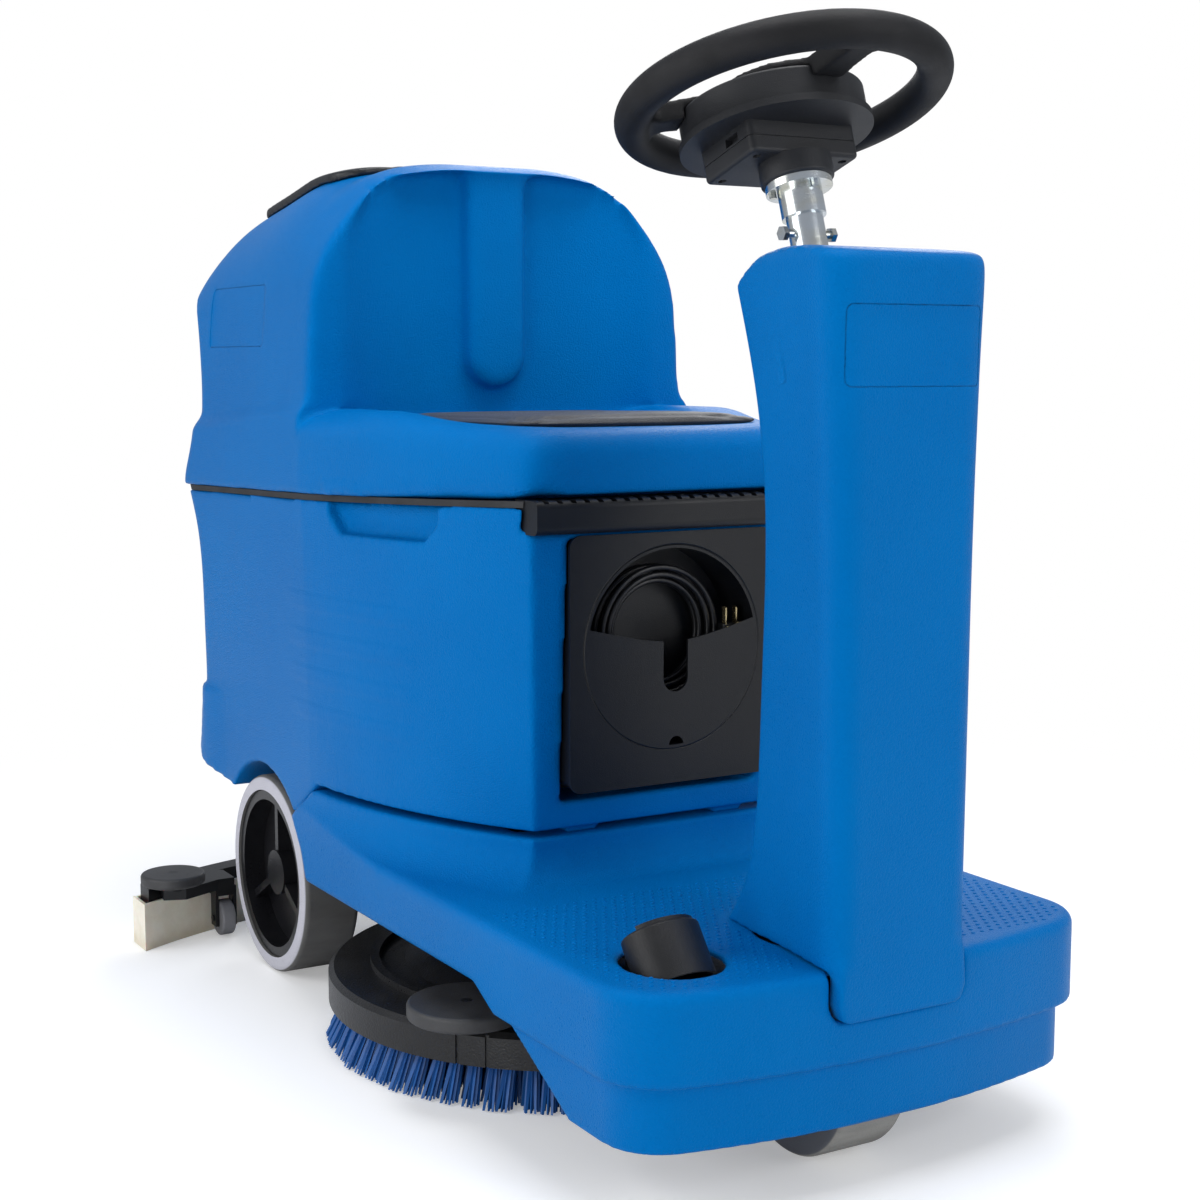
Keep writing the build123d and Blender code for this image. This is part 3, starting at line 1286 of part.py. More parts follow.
with BuildPart() as seat_trim:
    block((-TRIM_X, TRIM_X), (aft(-TRIM_FRONT), aft(-TRIM_REAR)), TRIM_Z)
    fillet(seat_trim.edges().filter_by(Axis.X).sort_by(Axis.Y)[:2], 8)
    # ribs along its top
    for index in range(21):
        x = (index - 10) * 15.5
        block(
            (x - 3, x + 3), (aft(-TRIM_FRONT - 1), aft(-510)), (TRIM_Z[1] - 3, TRIM_Z[1] + 1), Mode.SUBTRACT
        )
save(seat_trim, "seat_trim")

CHARGER = (200.0, 58.0, 210.0)
with BuildPart() as charger:
    with BuildSketch(Plane.XY.offset(CHARGE_BAY_Z[0])):
        with Locations((0, aft(CHARGE_BAY_Y[1] - CHARGER[1] / 2))):
            RectangleRounded(CHARGER[0], CHARGER[1], 8)
    extrude(amount=CHARGER[2])
save(charger, "charger")

SEAL_INSET = (2.0, 10.0)
with BuildPart() as seal_opening:
    loft([body_plan(z, -SEAL_INSET[1], rear) for z, rear in TANK_SECTIONS])

with BuildPart() as tank_seal:
    loft([body_plan(z, -SEAL_INSET[0], rear) for z, rear in TANK_SECTIONS])
    add(seal_opening.part, mode=Mode.SUBTRACT)
    split(bisect_by=PARTING, keep=Keep.TOP)
    split(bisect_by=SEAL_TOP.offset(-GAP), keep=Keep.BOTTOM)
    block((-TRIM_X - 1, TRIM_X + 1), (aft(-700), aft(-TRIM_REAR + 6)), (500, 700), Mode.SUBTRACT)
save(tank_seal, "tank_seal")


# ---------------------------------------------------------------- recovery tank, seat and lid
# height, growth of the outline, rear wall behind the rear axle
BACK_SECTIONS = (
    (560.0, 2.0, 269.0),
    (600.0, 3.0, 277.0),
    (645.0, 0.0, 257.0),
    (700.0, -5.0, 259.0),
    (760.0, -9.0, 273.0),
    (823.0, -14.0, 297.0),
    (900.0, -18.0, 303.0),
    (980.0, -22.0, 306.0),
)
# place behind the rear axle, height of the top, corner radius
CROWN_SECTIONS = (
    (-200.0, 966.0, 150.0),
    (-60.0, 958.0, 150.0),
    (90.0, 946.0, 146.0),
    (190.0, 926.0, 138.0),
    (250.0, 898.0, 124.0),
    (290.0, 856.0, 106.0),
    (320.0, 800.0, 86.0),
)
CROWN_FOOT = (286.0, 400.0)  # half width and height where the arch's sides start
CROWN_LEAN = 0.0814          # how fast they lean in
LABEL_Y = (0.0, 186.0)       # bare recess on each side
LABEL_Z = (755.0, 830.0)
LABEL_DEPTH = 1.6
LIP_Z = 608.0                # lips over the hand recesses
LIP_PROUD = 3.0
SEAT_EDGE_R = 28.0
HOLLOW_R = 660.0
HOLLOW_DEPTH = 35.0
HOLLOW_HALF = 214.0
HOLLOW_TOP = 936.0
LID_X = 168.0
LID_Y = (-58.0, 212.0)
LID_T = 11.0
LID_HINGE = (-66.0, 970.0)
LID_KNUCKLE_X = (60.0, 76.0)
LID_ARM_X = (76.5, 94.5)
DUCT_R = 30.0
DUCT_BASE = 592.6
CAGE_TOP = 840.0
TANK_MOUTH_X = 118.0
TANK_MOUTH_Y = (-10.0, 160.0)
PAD_T = 9.0


def crown(raise_by):
    """The arched top of the tank, swept from the backrest down to the rear."""
    sections = []
    for place, top, corner in CROWN_SECTIONS:
        foot_half, foot_z = CROWN_FOOT
        foot_half += raise_by
        top += raise_by
        top_half = foot_half - CROWN_LEAN * (top - foot_z)
        with BuildSketch(Plane.XZ.offset(-aft(place))) as section:
            with BuildLine():
                Polyline(
                    (-foot_half, foot_z), (foot_half, foot_z), (top_half, top), (-top_half, top), close=True
                )
            make_face()
            fillet(section.vertices().group_by(Axis.Y)[-1], corner + raise_by)
        sections.append(section.sketch)
    return loft(sections, mode=Mode.PRIVATE)


def hollow_cut(inset):
    """The bowed hollow of the backrest's front."""
    centre = -BACK_FRONT + HOLLOW_DEPTH - HOLLOW_R
    half = HOLLOW_HALF + inset
    with BuildPart() as cut:
        with BuildSketch(Plane.XY.offset(SEAT_Z - inset - 4)):
            with Locations((0, aft(centre))):
                Circle(HOLLOW_R + inset)
        extrude(amount=400)
        with BuildSketch(Plane.XZ.offset(-aft(-40 + inset))) as arch:
            with Locations((0, (HOLLOW_TOP + inset + SEAT_Z - 40) / 2)):
                Rectangle(2 * half, HOLLOW_TOP + inset - SEAT_Z + 40)
            fillet(arch.vertices().group_by(Axis.Y)[-1], 96 + inset)
        extrude(arch.sketch, amount=200, mode=Mode.INTERSECT)
    return cut.part


def recovery_form(inset):
    with BuildPart() as base:
        loft([body_plan(z, grow - inset, rear) for z, grow, rear in BACK_SECTIONS])
        split(bisect_by=SEAL_TOP.offset(inset), keep=Keep.TOP)
    with BuildPart() as seat:
        add(base.part)
        block((-400, 400), (aft(-700), aft(400)), (SEAT_Z - inset, 1000), Mode.SUBTRACT)
        fillet(seat.faces().sort_by(Axis.Z)[-1].edges(), SEAT_EDGE_R - inset)
        block((-TRIM_X - 2 - inset, TRIM_X + 2 + inset), (aft(-700), aft(-TRIM_REAR + 8 + inset)),
              (500, TRIM_Z[1] + 4 + inset), Mode.SUBTRACT)
    with BuildPart() as back:
        add(base.part)
        block((-400, 400), (aft(-700), aft(-BACK_FRONT + inset)), (500, 1000), Mode.SUBTRACT)
        add(crown(-inset), mode=Mode.INTERSECT)
        add(hollow_cut(inset), mode=Mode.SUBTRACT)
    with BuildPart() as form:
        add(seat.part)
        add(back.part)
    return form.part


recovery_outer = recovery_form(0)
recovery_inner = recovery_form(WALL)

with BuildPart() as label_floor:
    loft([body_plan(z, grow - LABEL_DEPTH, rear) for z, grow, rear in BACK_SECTIONS])
    add(crown(-LABEL_DEPTH), mode=Mode.INTERSECT)

with BuildPart() as label_recess:
    for side in (-1, 1):
        block(tuple(sorted((side * 200, side * 300))), (aft(LABEL_Y[0]), aft(LABEL_Y[1])), LABEL_Z)
    add(label_floor.part, mode=Mode.SUBTRACT)

with BuildPart() as hand_lips:
    loft([body_plan(z, grow + LIP_PROUD, rear) for z, grow, rear in BACK_SECTIONS])
    split(bisect_by=SEAL_TOP, keep=Keep.TOP)
    with BuildSketch(Plane.YZ) as side_view:
        with BuildLine():
            Polyline(
                (aft(HANDLE_Y[0] - 4), 500),
                (aft(HANDLE_Y[1] + 4), 500),
                (aft(HANDLE_Y[1] + 4), LIP_Z),
                (aft(HANDLE_Y[0] - 4), LIP_Z),
                close=True,
            )
        make_face()
        fillet(side_view.vertices().group_by(Axis.Y)[-1], 7)
    extrude(side_view.sketch, amount=300, both=True, mode=Mode.INTERSECT)
    block((-150, 150), (aft(-500), aft(0)), (500, 700), Mode.SUBTRACT)

with BuildPart() as spine:
    with BuildSketch(Plane.XZ.offset(-aft(-60))):
        with Locations((0, 850)):
            SlotOverall(284, 78, rotation=90)
    extrude(amount=BACK_FRONT - 72)
    add(crown(-4), mode=Mode.INTERSECT)

with BuildPart() as recovery_tank:
    add(recovery_outer)
    # raised spine down the middle of the backrest
    add(spine.part)
    add(hand_lips.part)
    add(recovery_inner, mode=Mode.SUBTRACT)
    add(label_recess.part, mode=Mode.SUBTRACT)
    # mouth under the lid
    with BuildSketch(Plane.XY.offset(820)):
        with Locations((0, aft(sum(TANK_MOUTH_Y) / 2))):
            RectangleRounded(2 * TANK_MOUTH_X, TANK_MOUTH_Y[1] - TANK_MOUTH_Y[0], 24)
    extrude(amount=180, mode=Mode.SUBTRACT)
    # suction duct's hole, over the vacuum motor
    with BuildSketch(Plane.XY.offset(560)):
        with Locations((0, aft(sum(VACUUM_BAY_Y) / 2))):
            Circle(DUCT_R)
    extrude(amount=60, mode=Mode.SUBTRACT)
    # hinge knuckles, and scoops that clear the lower tank's
    for side in (-1, 1):
        middle = side * sum(KNUCKLE_X) / 2
        length = KNUCKLE_X[1] - KNUCKLE_X[0] + 1
        cylinder_x(KNUCKLE_R + 1, length, middle, aft(TANK_HINGE_Y), TANK_HINGE_Z, Mode.SUBTRACT)
    tank_knuckles(UPPER_KNUCKLE_X, (TANK_HINGE_Z + 5, 592))
    # knuckles of the lid
    for side in (-1, 1):
        x = side * sum(LID_KNUCKLE_X) / 2
        cylinder_x(7, LID_KNUCKLE_X[1] - LID_KNUCKLE_X[0], x, aft(LID_HINGE[0]), LID_HINGE[1])
        block(
            (x - 8, x + 8),
            (aft(LID_HINGE[0] - 7), aft(LID_HINGE[0] + 7)),
            (LID_HINGE[1] - 18, LID_HINGE[1]),
        )
        cylinder_x(4 + FIT, 40, x, aft(LID_HINGE[0]), LID_HINGE[1], Mode.SUBTRACT)
save(recovery_tank, "recovery_tank")

with BuildPart() as tank_hinge_pins:
    for side in (-1, 1):
        x = side * (KNUCKLE_X[0] + UPPER_KNUCKLE_X[1]) / 2
        cylinder_x(HINGE_PIN_R, UPPER_KNUCKLE_X[1] - KNUCKLE_X[0], x, aft(TANK_HINGE_Y), TANK_HINGE_Z)
save(tank_hinge_pins, "tank_hinge_pins")

# float shut-off: a slotted cage on the duct that draws air out of the tank
with BuildPart() as float_cage:
    with BuildSketch(Plane.XY.offset(DUCT_BASE)):
        with Locations((0, aft(sum(VACUUM_BAY_Y) / 2))):
            Circle(DUCT_R + 8)
            Circle(DUCT_R - 4, mode=Mode.SUBTRACT)
    extrude(amount=4)
    with BuildSketch(Plane.XY.offset(DUCT_BASE - WALL)):
        with Locations((0, aft(sum(VACUUM_BAY_Y) / 2))):
            Circle(DUCT_R - FIT)
            Circle(DUCT_R - 4, mode=Mode.SUBTRACT)
    extrude(amount=CAGE_TOP - DUCT_BASE + WALL)
    with BuildSketch(Plane.XY.offset(CAGE_TOP - 4)):
        with Locations((0, aft(sum(VACUUM_BAY_Y) / 2))):
            Circle(DUCT_R - FIT)
    extrude(amount=6)
    for turn in range(3):
        with BuildSketch(Plane.XY.offset(CAGE_TOP - 76)):
            with Locations(Location((0, aft(sum(VACUUM_BAY_Y) / 2), 0), (0, 0, 60 * turn))):
                Rectangle(4 * DUCT_R, 16)
        extrude(amount=66, mode=Mode.SUBTRACT)
save(float_cage, "float_cage")

with BuildPart() as seat_pad:
    with BuildSketch(Plane.XY.offset(SEAT_Z)):
        with Locations((0, aft(-302))):
            RectangleRounded(304, 324, 26)
    extrude(amount=PAD_T)
    fillet(seat_pad.faces().sort_by(Axis.Z)[-1].edges(), 4)
save(seat_pad, "seat_pad")

with BuildPart() as tank_lid:
    with BuildSketch(Plane.XY.offset(780)):
        with Locations((0, aft(sum(LID_Y) / 2))):
            RectangleRounded(2 * LID_X, LID_Y[1] - LID_Y[0], 40)
    extrude(amount=240)
    add(crown(LID_T), mode=Mode.INTERSECT)
    add(crown(GAP), mode=Mode.SUBTRACT)
    # snap-in hinge arms
    for side in (-1, 1):
        x = side * sum(LID_ARM_X) / 2
        half = (LID_ARM_X[1] - LID_ARM_X[0]) / 2
        cylinder_x(6, 2 * half, x, aft(LID_HINGE[0]), LID_HINGE[1])
        block(
            (x - half, x + half),
            (aft(LID_HINGE[0]), aft(LID_HINGE[0] + 18)),
            (LID_HINGE[1] - 5, LID_HINGE[1] + 2),
        )
        cylinder_x(4, 26, x - side * 8, aft(LID_HINGE[0]), LID_HINGE[1])
save(tank_lid, "tank_lid")


# ---------------------------------------------------------------- charger's cord, stowed in the pocket
COIL_CENTRE = (2.0, 456.0)
COIL_R = (50.0, 76.0)
COIL_Y = (-494.0, -466.0)
PLUG_AT = (80.0, -504.0)
PLUG_Z = (429.0, 463.0)
PLUG = (24.0, 14.0)
GLAND_Z = 386.0
GLAND_Y = -482.0
GLAND_FACE = -70.0
TAIL_ROUTE = (                # from the gland to the coil
    (GLAND_FACE, aft(GLAND_Y), GLAND_Z),
    (-50.0, aft(-481), 386.5),
    (-30.0, aft(-480), 392.0),
    (-14.0, aft(-480), 394.0),
)
LEAD_ROUTE = (                # from the plug down and round into the coil
    (PLUG_AT[0], aft(PLUG_AT[1]), PLUG_Z[0] - 8),
    (PLUG_AT[0], aft(PLUG_AT[1]), 401.0),
    (68.0, aft(-501), 386.0),
    (51.0, aft(-496.5), 381.0),
    (34.0, aft(-490), 384.5),
    (20.0, aft(-483), 390.0),
)


def corner_radii(route):
    """The largest even arc at each corner: 0.45 of the shorter run over the tangent of half the turn."""
    points = [Vector(point) for point in route]
    radii = []
    for before, corner, after in zip(points, points[1:], points[2:]):
        turn = (corner - before).get_angle(after - corner)
        run = min((corner - before).length, (after - corner).length)
        radii.append(0.45 * run / tan(radians(turn / 2)))
    return radii


def cord_tube(route):
    with BuildPart() as tube:
        with BuildLine() as path:
            FilletPolyline(*route, radius=corner_radii(route))
        with BuildSketch(Plane(origin=route[0], z_dir=Vector(route[1]) - Vector(route[0]))) as section:
            Circle(CORD_R)
        sweep(section.sketch, path=path.wire())
    length = path.wire().length
    print("radii", [round(radius, 1) for radius in corner_radii(route)], "length", round(length, 2),
          "volume", round(tube.part.volume, 1), "section x length", round(pi * CORD_R ** 2 * length, 1))
    return tube.part


with BuildPart() as charger_cord_coil:
    with BuildSketch(Plane.XZ.offset(-aft(COIL_Y[1]))):
        with Locations(COIL_CENTRE):
            Circle(COIL_R[1])
            Circle(COIL_R[0], mode=Mode.SUBTRACT)
    extrude(amount=COIL_Y[1] - COIL_Y[0])
    fillet(charger_cord_coil.edges().filter_by(GeomType.CIRCLE), 4)
save(charger_cord_coil, "charger_cord_coil")

with BuildPart() as charger_cord:
    for route in (TAIL_ROUTE, LEAD_ROUTE):
        add(cord_tube(route))
    add(charger_cord_coil.part, mode=Mode.SUBTRACT)
save(charger_cord, "charger_cord")

with BuildPart() as charger_plug:
    block(
        (PLUG_AT[0] - PLUG[0] / 2, PLUG_AT[0] + PLUG[0] / 2),
        (aft(PLUG_AT[1] - PLUG[1] / 2), aft(PLUG_AT[1] + PLUG[1] / 2)),
        PLUG_Z,
    )
    fillet(charger_plug.edges().filter_by(Axis.Z), 4)
    with BuildSketch(Plane.XY.offset(PLUG_Z[0] - 8)):
        with Locations((PLUG_AT[0], aft(PLUG_AT[1]))):
            Circle(CORD_R + 2)
    extrude(amount=9)
save(charger_plug, "charger_plug")

with BuildPart() as plug_blades:
    for x in (-6.5, 6.5):
        with BuildSketch(Plane.XY.offset(PLUG_Z[1])):
            with Locations((PLUG_AT[0] + x, aft(PLUG_AT[1]))):
                Rectangle(1.6, 6.4)
        extrude(amount=18)
    chamfer(plug_blades.edges().filter_by(Axis.X).group_by(Axis.Z)[-1], 1.2)
save(plug_blades, "plug_blades")

with BuildPart() as cord_grommet:
    cylinder_x(CORD_R + 4, 12, GLAND_FACE - 6, aft(GLAND_Y), GLAND_Z)
    cylinder_x(CORD_R + 1.5, 12, GLAND_FACE - 14, aft(GLAND_Y), GLAND_Z)
    with BuildSketch(Plane.XZ.offset(-aft(-460))) as pocket_disc:
        with Locations((0, POCKET_Z)):
            Circle(POCKET_R)
    extrude(pocket_disc.sketch, amount=60, mode=Mode.INTERSECT)
save(cord_grommet, "cord_grommet")
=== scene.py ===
# %% [markdown]
# # A ride-on floor scrubber
# The machine is a driver's platform with a steering column, a solution tank with a recovery tank on top of it that
# is also the seat, a brush deck below and a squeegee behind. Its construction is finished before this lesson
# starts: the frame holds every rigid piece at its real size, in metres, facing -Y, with its left side at +X.
# Here each piece gets its finish, and the soft, moulded and bristled ones get their real surface.

# %% Load the frame
import json
from math import cos, pi, radians, sin, sqrt
from random import Random

import bmesh
import bpy
from mathutils import Matrix, Vector
from mathutils.bvhtree import BVHTree


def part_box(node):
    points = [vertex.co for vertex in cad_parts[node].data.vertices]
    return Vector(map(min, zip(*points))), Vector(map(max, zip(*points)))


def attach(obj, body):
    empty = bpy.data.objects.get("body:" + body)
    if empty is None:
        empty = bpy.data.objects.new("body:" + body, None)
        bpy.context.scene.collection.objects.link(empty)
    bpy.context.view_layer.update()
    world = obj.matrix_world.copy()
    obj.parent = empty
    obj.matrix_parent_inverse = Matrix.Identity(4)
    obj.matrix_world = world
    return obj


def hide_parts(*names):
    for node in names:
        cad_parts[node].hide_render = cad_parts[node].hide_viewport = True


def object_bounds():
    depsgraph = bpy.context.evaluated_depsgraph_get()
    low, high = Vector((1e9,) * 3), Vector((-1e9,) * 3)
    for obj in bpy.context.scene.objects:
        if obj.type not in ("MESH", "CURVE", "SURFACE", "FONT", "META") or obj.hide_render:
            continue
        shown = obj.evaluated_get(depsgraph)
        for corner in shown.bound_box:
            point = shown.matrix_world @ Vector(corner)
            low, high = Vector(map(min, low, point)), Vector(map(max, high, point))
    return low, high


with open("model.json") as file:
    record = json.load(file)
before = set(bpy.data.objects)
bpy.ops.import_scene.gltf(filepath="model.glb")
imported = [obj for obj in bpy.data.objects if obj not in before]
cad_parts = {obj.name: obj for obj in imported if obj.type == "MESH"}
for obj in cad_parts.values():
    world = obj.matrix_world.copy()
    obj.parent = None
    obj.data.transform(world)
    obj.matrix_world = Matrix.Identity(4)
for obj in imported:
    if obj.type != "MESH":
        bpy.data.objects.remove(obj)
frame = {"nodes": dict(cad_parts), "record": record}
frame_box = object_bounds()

nodes = frame["nodes"]
body_of_node = {
    node: body for body, members in frame["record"]["behaviour"]["bodies"].items() for node in members
}

# %% [markdown]
# ## Camera
# The camera stands ahead of the machine on its right, a little below the steering wheel, and looks slightly down.
# Two metres away with a short telephoto lens keeps the near bumper large without bending its edges. Nothing is out
# of focus, as in a catalogue picture.

# %% Camera
camera = bpy.data.objects.new("camera", bpy.data.cameras.new("camera"))
bpy.context.collection.objects.link(camera)
camera.location = (-1.0813, -1.9045, 0.7370)
camera.rotation_euler = (radians(90 - 6.9138), 0, radians(-30.448))
camera.data.sensor_width = 36
camera.data.lens = 58.68
bpy.context.scene.camera = camera
print("camera at", tuple(camera.location))

# %% [markdown]
# ## Stage and light
# A catalogue object stands on a white sweep under large soft lamps. The lamps stay at a plain level, so that a
# colour renders about as it is written. The white around the object is what the camera and the glossy surfaces see
# of the world, through the Light Path node, and doesn't add light. The floor is a plain pale plane that keeps the
# contact shadow.

# %% World
scene = bpy.context.scene
scene.view_settings.view_transform = "Standard"
world = bpy.data.worlds.new("studio")
world.use_nodes = True
scene.world = world
sky = world.node_tree
backdrop, fill_light = sky.nodes["Background"], sky.nodes.new("ShaderNodeBackground")
fill_light.inputs["Color"].default_value = (0.86, 0.91, 1.0, 1)
fill_light.inputs["Strength"].default_value = 0.42
backdrop.inputs["Color"].default_value = (1, 1, 1, 1)
backdrop.inputs["Strength"].default_value = 1.0
rays, choose = sky.nodes.new("ShaderNodeLightPath"), sky.nodes.new("ShaderNodeMixShader")
seen = sky.nodes.new("ShaderNodeMath")
seen.operation = "MAXIMUM"
sky.links.new(rays.outputs["Is Camera Ray"], seen.inputs[0])
sky.links.new(rays.outputs["Is Transmission Ray"], seen.inputs[1])
sky.links.new(seen.outputs[0], choose.inputs["Fac"])
sky.links.new(fill_light.outputs[0], choose.inputs[1])
sky.links.new(backdrop.outputs[0], choose.inputs[2])
sky.links.new(choose.outputs[0], sky.nodes["World Output"].inputs["Surface"])
print("world fill", fill_light.inputs["Strength"].default_value)


# %% Lamps
def soft_lamp(name, place, aim, size, watts):
    """A square area lamp at a place, turned to a point."""
    lamp = bpy.data.objects.new(name, bpy.data.lights.new(name, "AREA"))
    bpy.context.collection.objects.link(lamp)
    lamp.data.size = size
    lamp.data.energy = watts
    lamp.location = place
    lamp.rotation_euler = (Vector(aim) - Vector(place)).to_track_quat("-Z", "Y").to_euler()


machine_middle = (0, 0, 0.5)
soft_lamp("lamp_side", (-2.6, 0.3, 1.7), machine_middle, 1.8, 33)
soft_lamp("lamp_low", (-2.3, -1.4, 0.35), (-0.2, 0.2, 0.1), 1.0, 17)
soft_lamp("lamp_top", (0.2, -0.5, 3.0), machine_middle, 1.6, 46)
soft_lamp("lamp_front", (1.2, -2.9, 1.5), machine_middle, 1.4, 28)
soft_lamp("lamp_back", (1.8, 2.2, 2.2), machine_middle, 1.6, 26)

# %% [markdown]
# ## Shader helper
# A finish is easier to read as arithmetic than as wires. `Signal` wraps one output of a node, and an expression
# on signals adds the Math nodes it needs. Every other node comes from `Finish.add`, which takes the node's type,
# its settings and what goes into its sockets. Values that are the same all over a piece are set straight on the
# shader's sockets.


# %% Shader helper
def linear(red, green, blue):
    """A colour as it is read off a screen, 0 to 255, as the linear colour that a shader wants."""
    def channel(value):
        value /= 255
        return value / 12.92 if value <= 0.04045 else ((value + 0.055) / 1.055) ** 2.4
    return channel(red), channel(green), channel(blue), 1.0


class Signal:
    """An output of a shader node; arithmetic on it adds Math nodes."""

    def __init__(self, finish, socket):
        self.finish, self.socket = finish, socket

    def math(self, operation, *terms):
        return self.finish.add("ShaderNodeMath", {"operation": operation}, dict(enumerate(terms)))

    def __add__(self, other):
        return self.math("ADD", self, other)

    def __sub__(self, other):
        return self.math("SUBTRACT", self, other)

    def __mul__(self, other):
        return self.math("MULTIPLY", self, other)

    def __pow__(self, other):
        return self.math("POWER", self, other)

    def __rsub__(self, other):
        return self.math("SUBTRACT", other, self)

    __radd__, __rmul__ = __add__, __mul__

    def size(self):
        return self.math("ABSOLUTE", self)

    def at_least(self, floor_value):
        return self.math("MAXIMUM", self, floor_value)

    def above(self, edge, softness):
        """0 below the edge and 1 above it, with a soft step."""
        return self.finish.add(
            "ShaderNodeMapRange",
            {"interpolation_type": "SMOOTHSTEP"},
            {"Value": self, "From Min": edge - softness / 2, "From Max": edge + softness / 2},
        )


class Finish:
    """One material: its node tree, its Principled shader and the Object coordinates that patterns use."""

    def __init__(self, name, constants):
        self.material = bpy.data.materials.new(name)
        self.material.use_nodes = True
        self.tree = self.material.node_tree
        self.shader = self.tree.nodes["Principled BSDF"]
        for socket, value in constants.items():
            self.shader.inputs[socket].default_value = value
        self.place = self.add("ShaderNodeTexCoord", output="Object")

    def add(self, kind, settings=None, inputs=None, output=0):
        """A node of that type, with its settings, then its inputs as values or signals; gives one output."""
        node = self.tree.nodes.new(kind)
        for setting, value in (settings or {}).items():
            setattr(node, setting, value)
        for key, value in (inputs or {}).items():
            socket = node.inputs[key] if isinstance(key, int) else next(
                s for s in node.inputs if key in (s.identifier, s.name)
            )
            if isinstance(value, Signal):
                self.tree.links.new(value.socket, socket)
            else:
                socket.default_value = value
        found = node.outputs[output] if isinstance(output, int) else next(
            s for s in node.outputs if output in (s.identifier, s.name)
        )
        return Signal(self, found)

    def noise(self, per_metre, detail=2.0, stretch=None, rough=0.5):
        """Soft random values about 0.5, with that many cells to a metre; stretch scales each axis."""
        place = self.place
        if stretch:
            place = self.add("ShaderNodeMapping", {}, {"Vector": place, "Scale": stretch})
        return self.add(
            "ShaderNodeTexNoise", {},
            {"Vector": place, "Scale": per_metre, "Detail": detail, "Roughness": rough},
        )

    def cells(self, per_metre, feature="F1"):
        """Distances in a random cell pattern."""
        return self.add(
            "ShaderNodeTexVoronoi", {"feature": feature}, {"Vector": self.place, "Scale": per_metre}
        )

    def axis(self, letter, source=None):
        return self.add("ShaderNodeSeparateXYZ", {}, {"Vector": source or self.place}, output=letter)

    def blend(self, amount, first, second):
        """A colour between two, by an amount from 0 to 1."""
        return self.add(
            "ShaderNodeMix", {"data_type": "RGBA"},
            {"Factor_Float": amount, "A_Color": first, "B_Color": second}, output="Result_Color",
        )

    def bump(self, height, depth, strength=1.0, under=None):
        """A surface normal from a height of 0 to 1 that stands for that depth in metres."""
        inputs = {"Height": height, "Distance": depth, "Strength": strength}
        if under:
            inputs["Normal"] = under
        return self.add("ShaderNodeBump", {}, inputs)

    def feed(self, socket, signal):
        self.tree.links.new(signal.socket, self.shader.inputs[socket])


print("helper ready")

# %% [markdown]
# ## Roto-moulded blue
# The platform, column and tanks are polyethylene that was cast by turning a heated mould. It has one deep colour
# right through, a satin skin that copies the mould's fine blasted grain, and long shallow waves where it cooled.
# The grain is what makes its highlights sparkle, and the waves bend them, so each is a bump of its own size. The
# colour varies only slightly over a hand's width. Shallow marks, such as the edge of the bare plate's recess and
# the ribs, are finer than the mesh, so they are a third bump. A recess is drawn from the distance to a rounded
# rectangle, and the ribs are a sine of the height.


# %% Roto-moulded blue
def moulded_blue(name, relief=None, deep=(0, 99, 172), pale=(0, 115, 190)):
    finish = Finish(
        name,
        {"Roughness": 0.34, "IOR": 1.5, "Specular IOR Level": 0.13, "Specular Tint": (0.03, 0.5, 0.9, 1)},
    )
    drift = finish.noise(5, detail=3)
    grain = finish.noise(560, detail=3, rough=0.6)
    waves = finish.noise(9, detail=2)
    finish.feed("Base Color", finish.blend(drift * 0.8 + grain * 0.2, linear(*deep), linear(*pale)))
    finish.feed("Roughness", 0.33 + (grain - 0.5) * 0.4 + (drift - 0.5) * 0.06)
    under = finish.bump(waves, 0.004, 0.28)
    if relief:
        under = finish.bump(relief(finish), 0.0022, 1.0, under=under)
    finish.feed("Normal", finish.bump(grain, 0.0016, 0.8, under=under))
    return finish.material


def beyond_rectangle(across, up, middle, half, corner=0.006):
    """Distance outside a rounded rectangle, given by its middle and half sizes; negative inside it."""
    dx = ((across - middle[0]).size() - (half[0] - corner)).at_least(0)
    dz = ((up - middle[1]).size() - (half[1] - corner)).at_least(0)
    return (dx * dx + dz * dz) ** 0.5 - corner


def plate_edge(finish):
    """The crisp edge of the bare plate recess on the column's front."""
    x, z = finish.axis("X"), finish.axis("Z")
    recess = 1 - beyond_rectangle(x, z, (0, 0.7515), (0.0725, 0.0345)).above(0, 0.0016)
    front = 1 - finish.axis("Y").above(-0.50, 0.02)
    return 1 - recess * front


def tank_relief(finish):
    """The bare label recess high on the sides, and the faint ribs low on them."""
    x, y, z = (finish.axis(letter) for letter in "XYZ")
    label = 1 - beyond_rectangle(y, z, (0.397, 0.7925), (0.0915, 0.036)).above(0, 0.0016)
    rib_turns = 150.0   # radians a metre, which is a rib each 42 mm
    side = x.size().above(0.215, 0.02)
    low = (1 - z.above(0.50, 0.02)) * z.above(0.335, 0.02)
    middle = y.above(-0.05, 0.05) * (1 - y.above(0.19, 0.05))
    angle = z * rib_turns
    ribs = angle.math("SINE", angle).above(0.2, 1.2)
    return side * (ribs * low * middle * 0.5 - label * 0.9)


blue = moulded_blue("roto_moulded_blue")
column_blue = moulded_blue("roto_moulded_blue_column", plate_edge)
tank_blue = moulded_blue("roto_moulded_blue_tanks", tank_relief)
print(blue.name, len(blue.node_tree.nodes), "nodes,", column_blue.name, "and", tank_blue.name)

# %% [markdown]
# ## Injection-moulded black
# The front panel, trim, console, wheel centres and brush deck are black or charcoal plastic from polished and
# spark-eroded tools. They differ in tone, gloss and grain size, so one function takes those as values. Faint
# dusty rubs lighten it here and there. The joint round the charger pocket is a hair line, so it is bump as well.


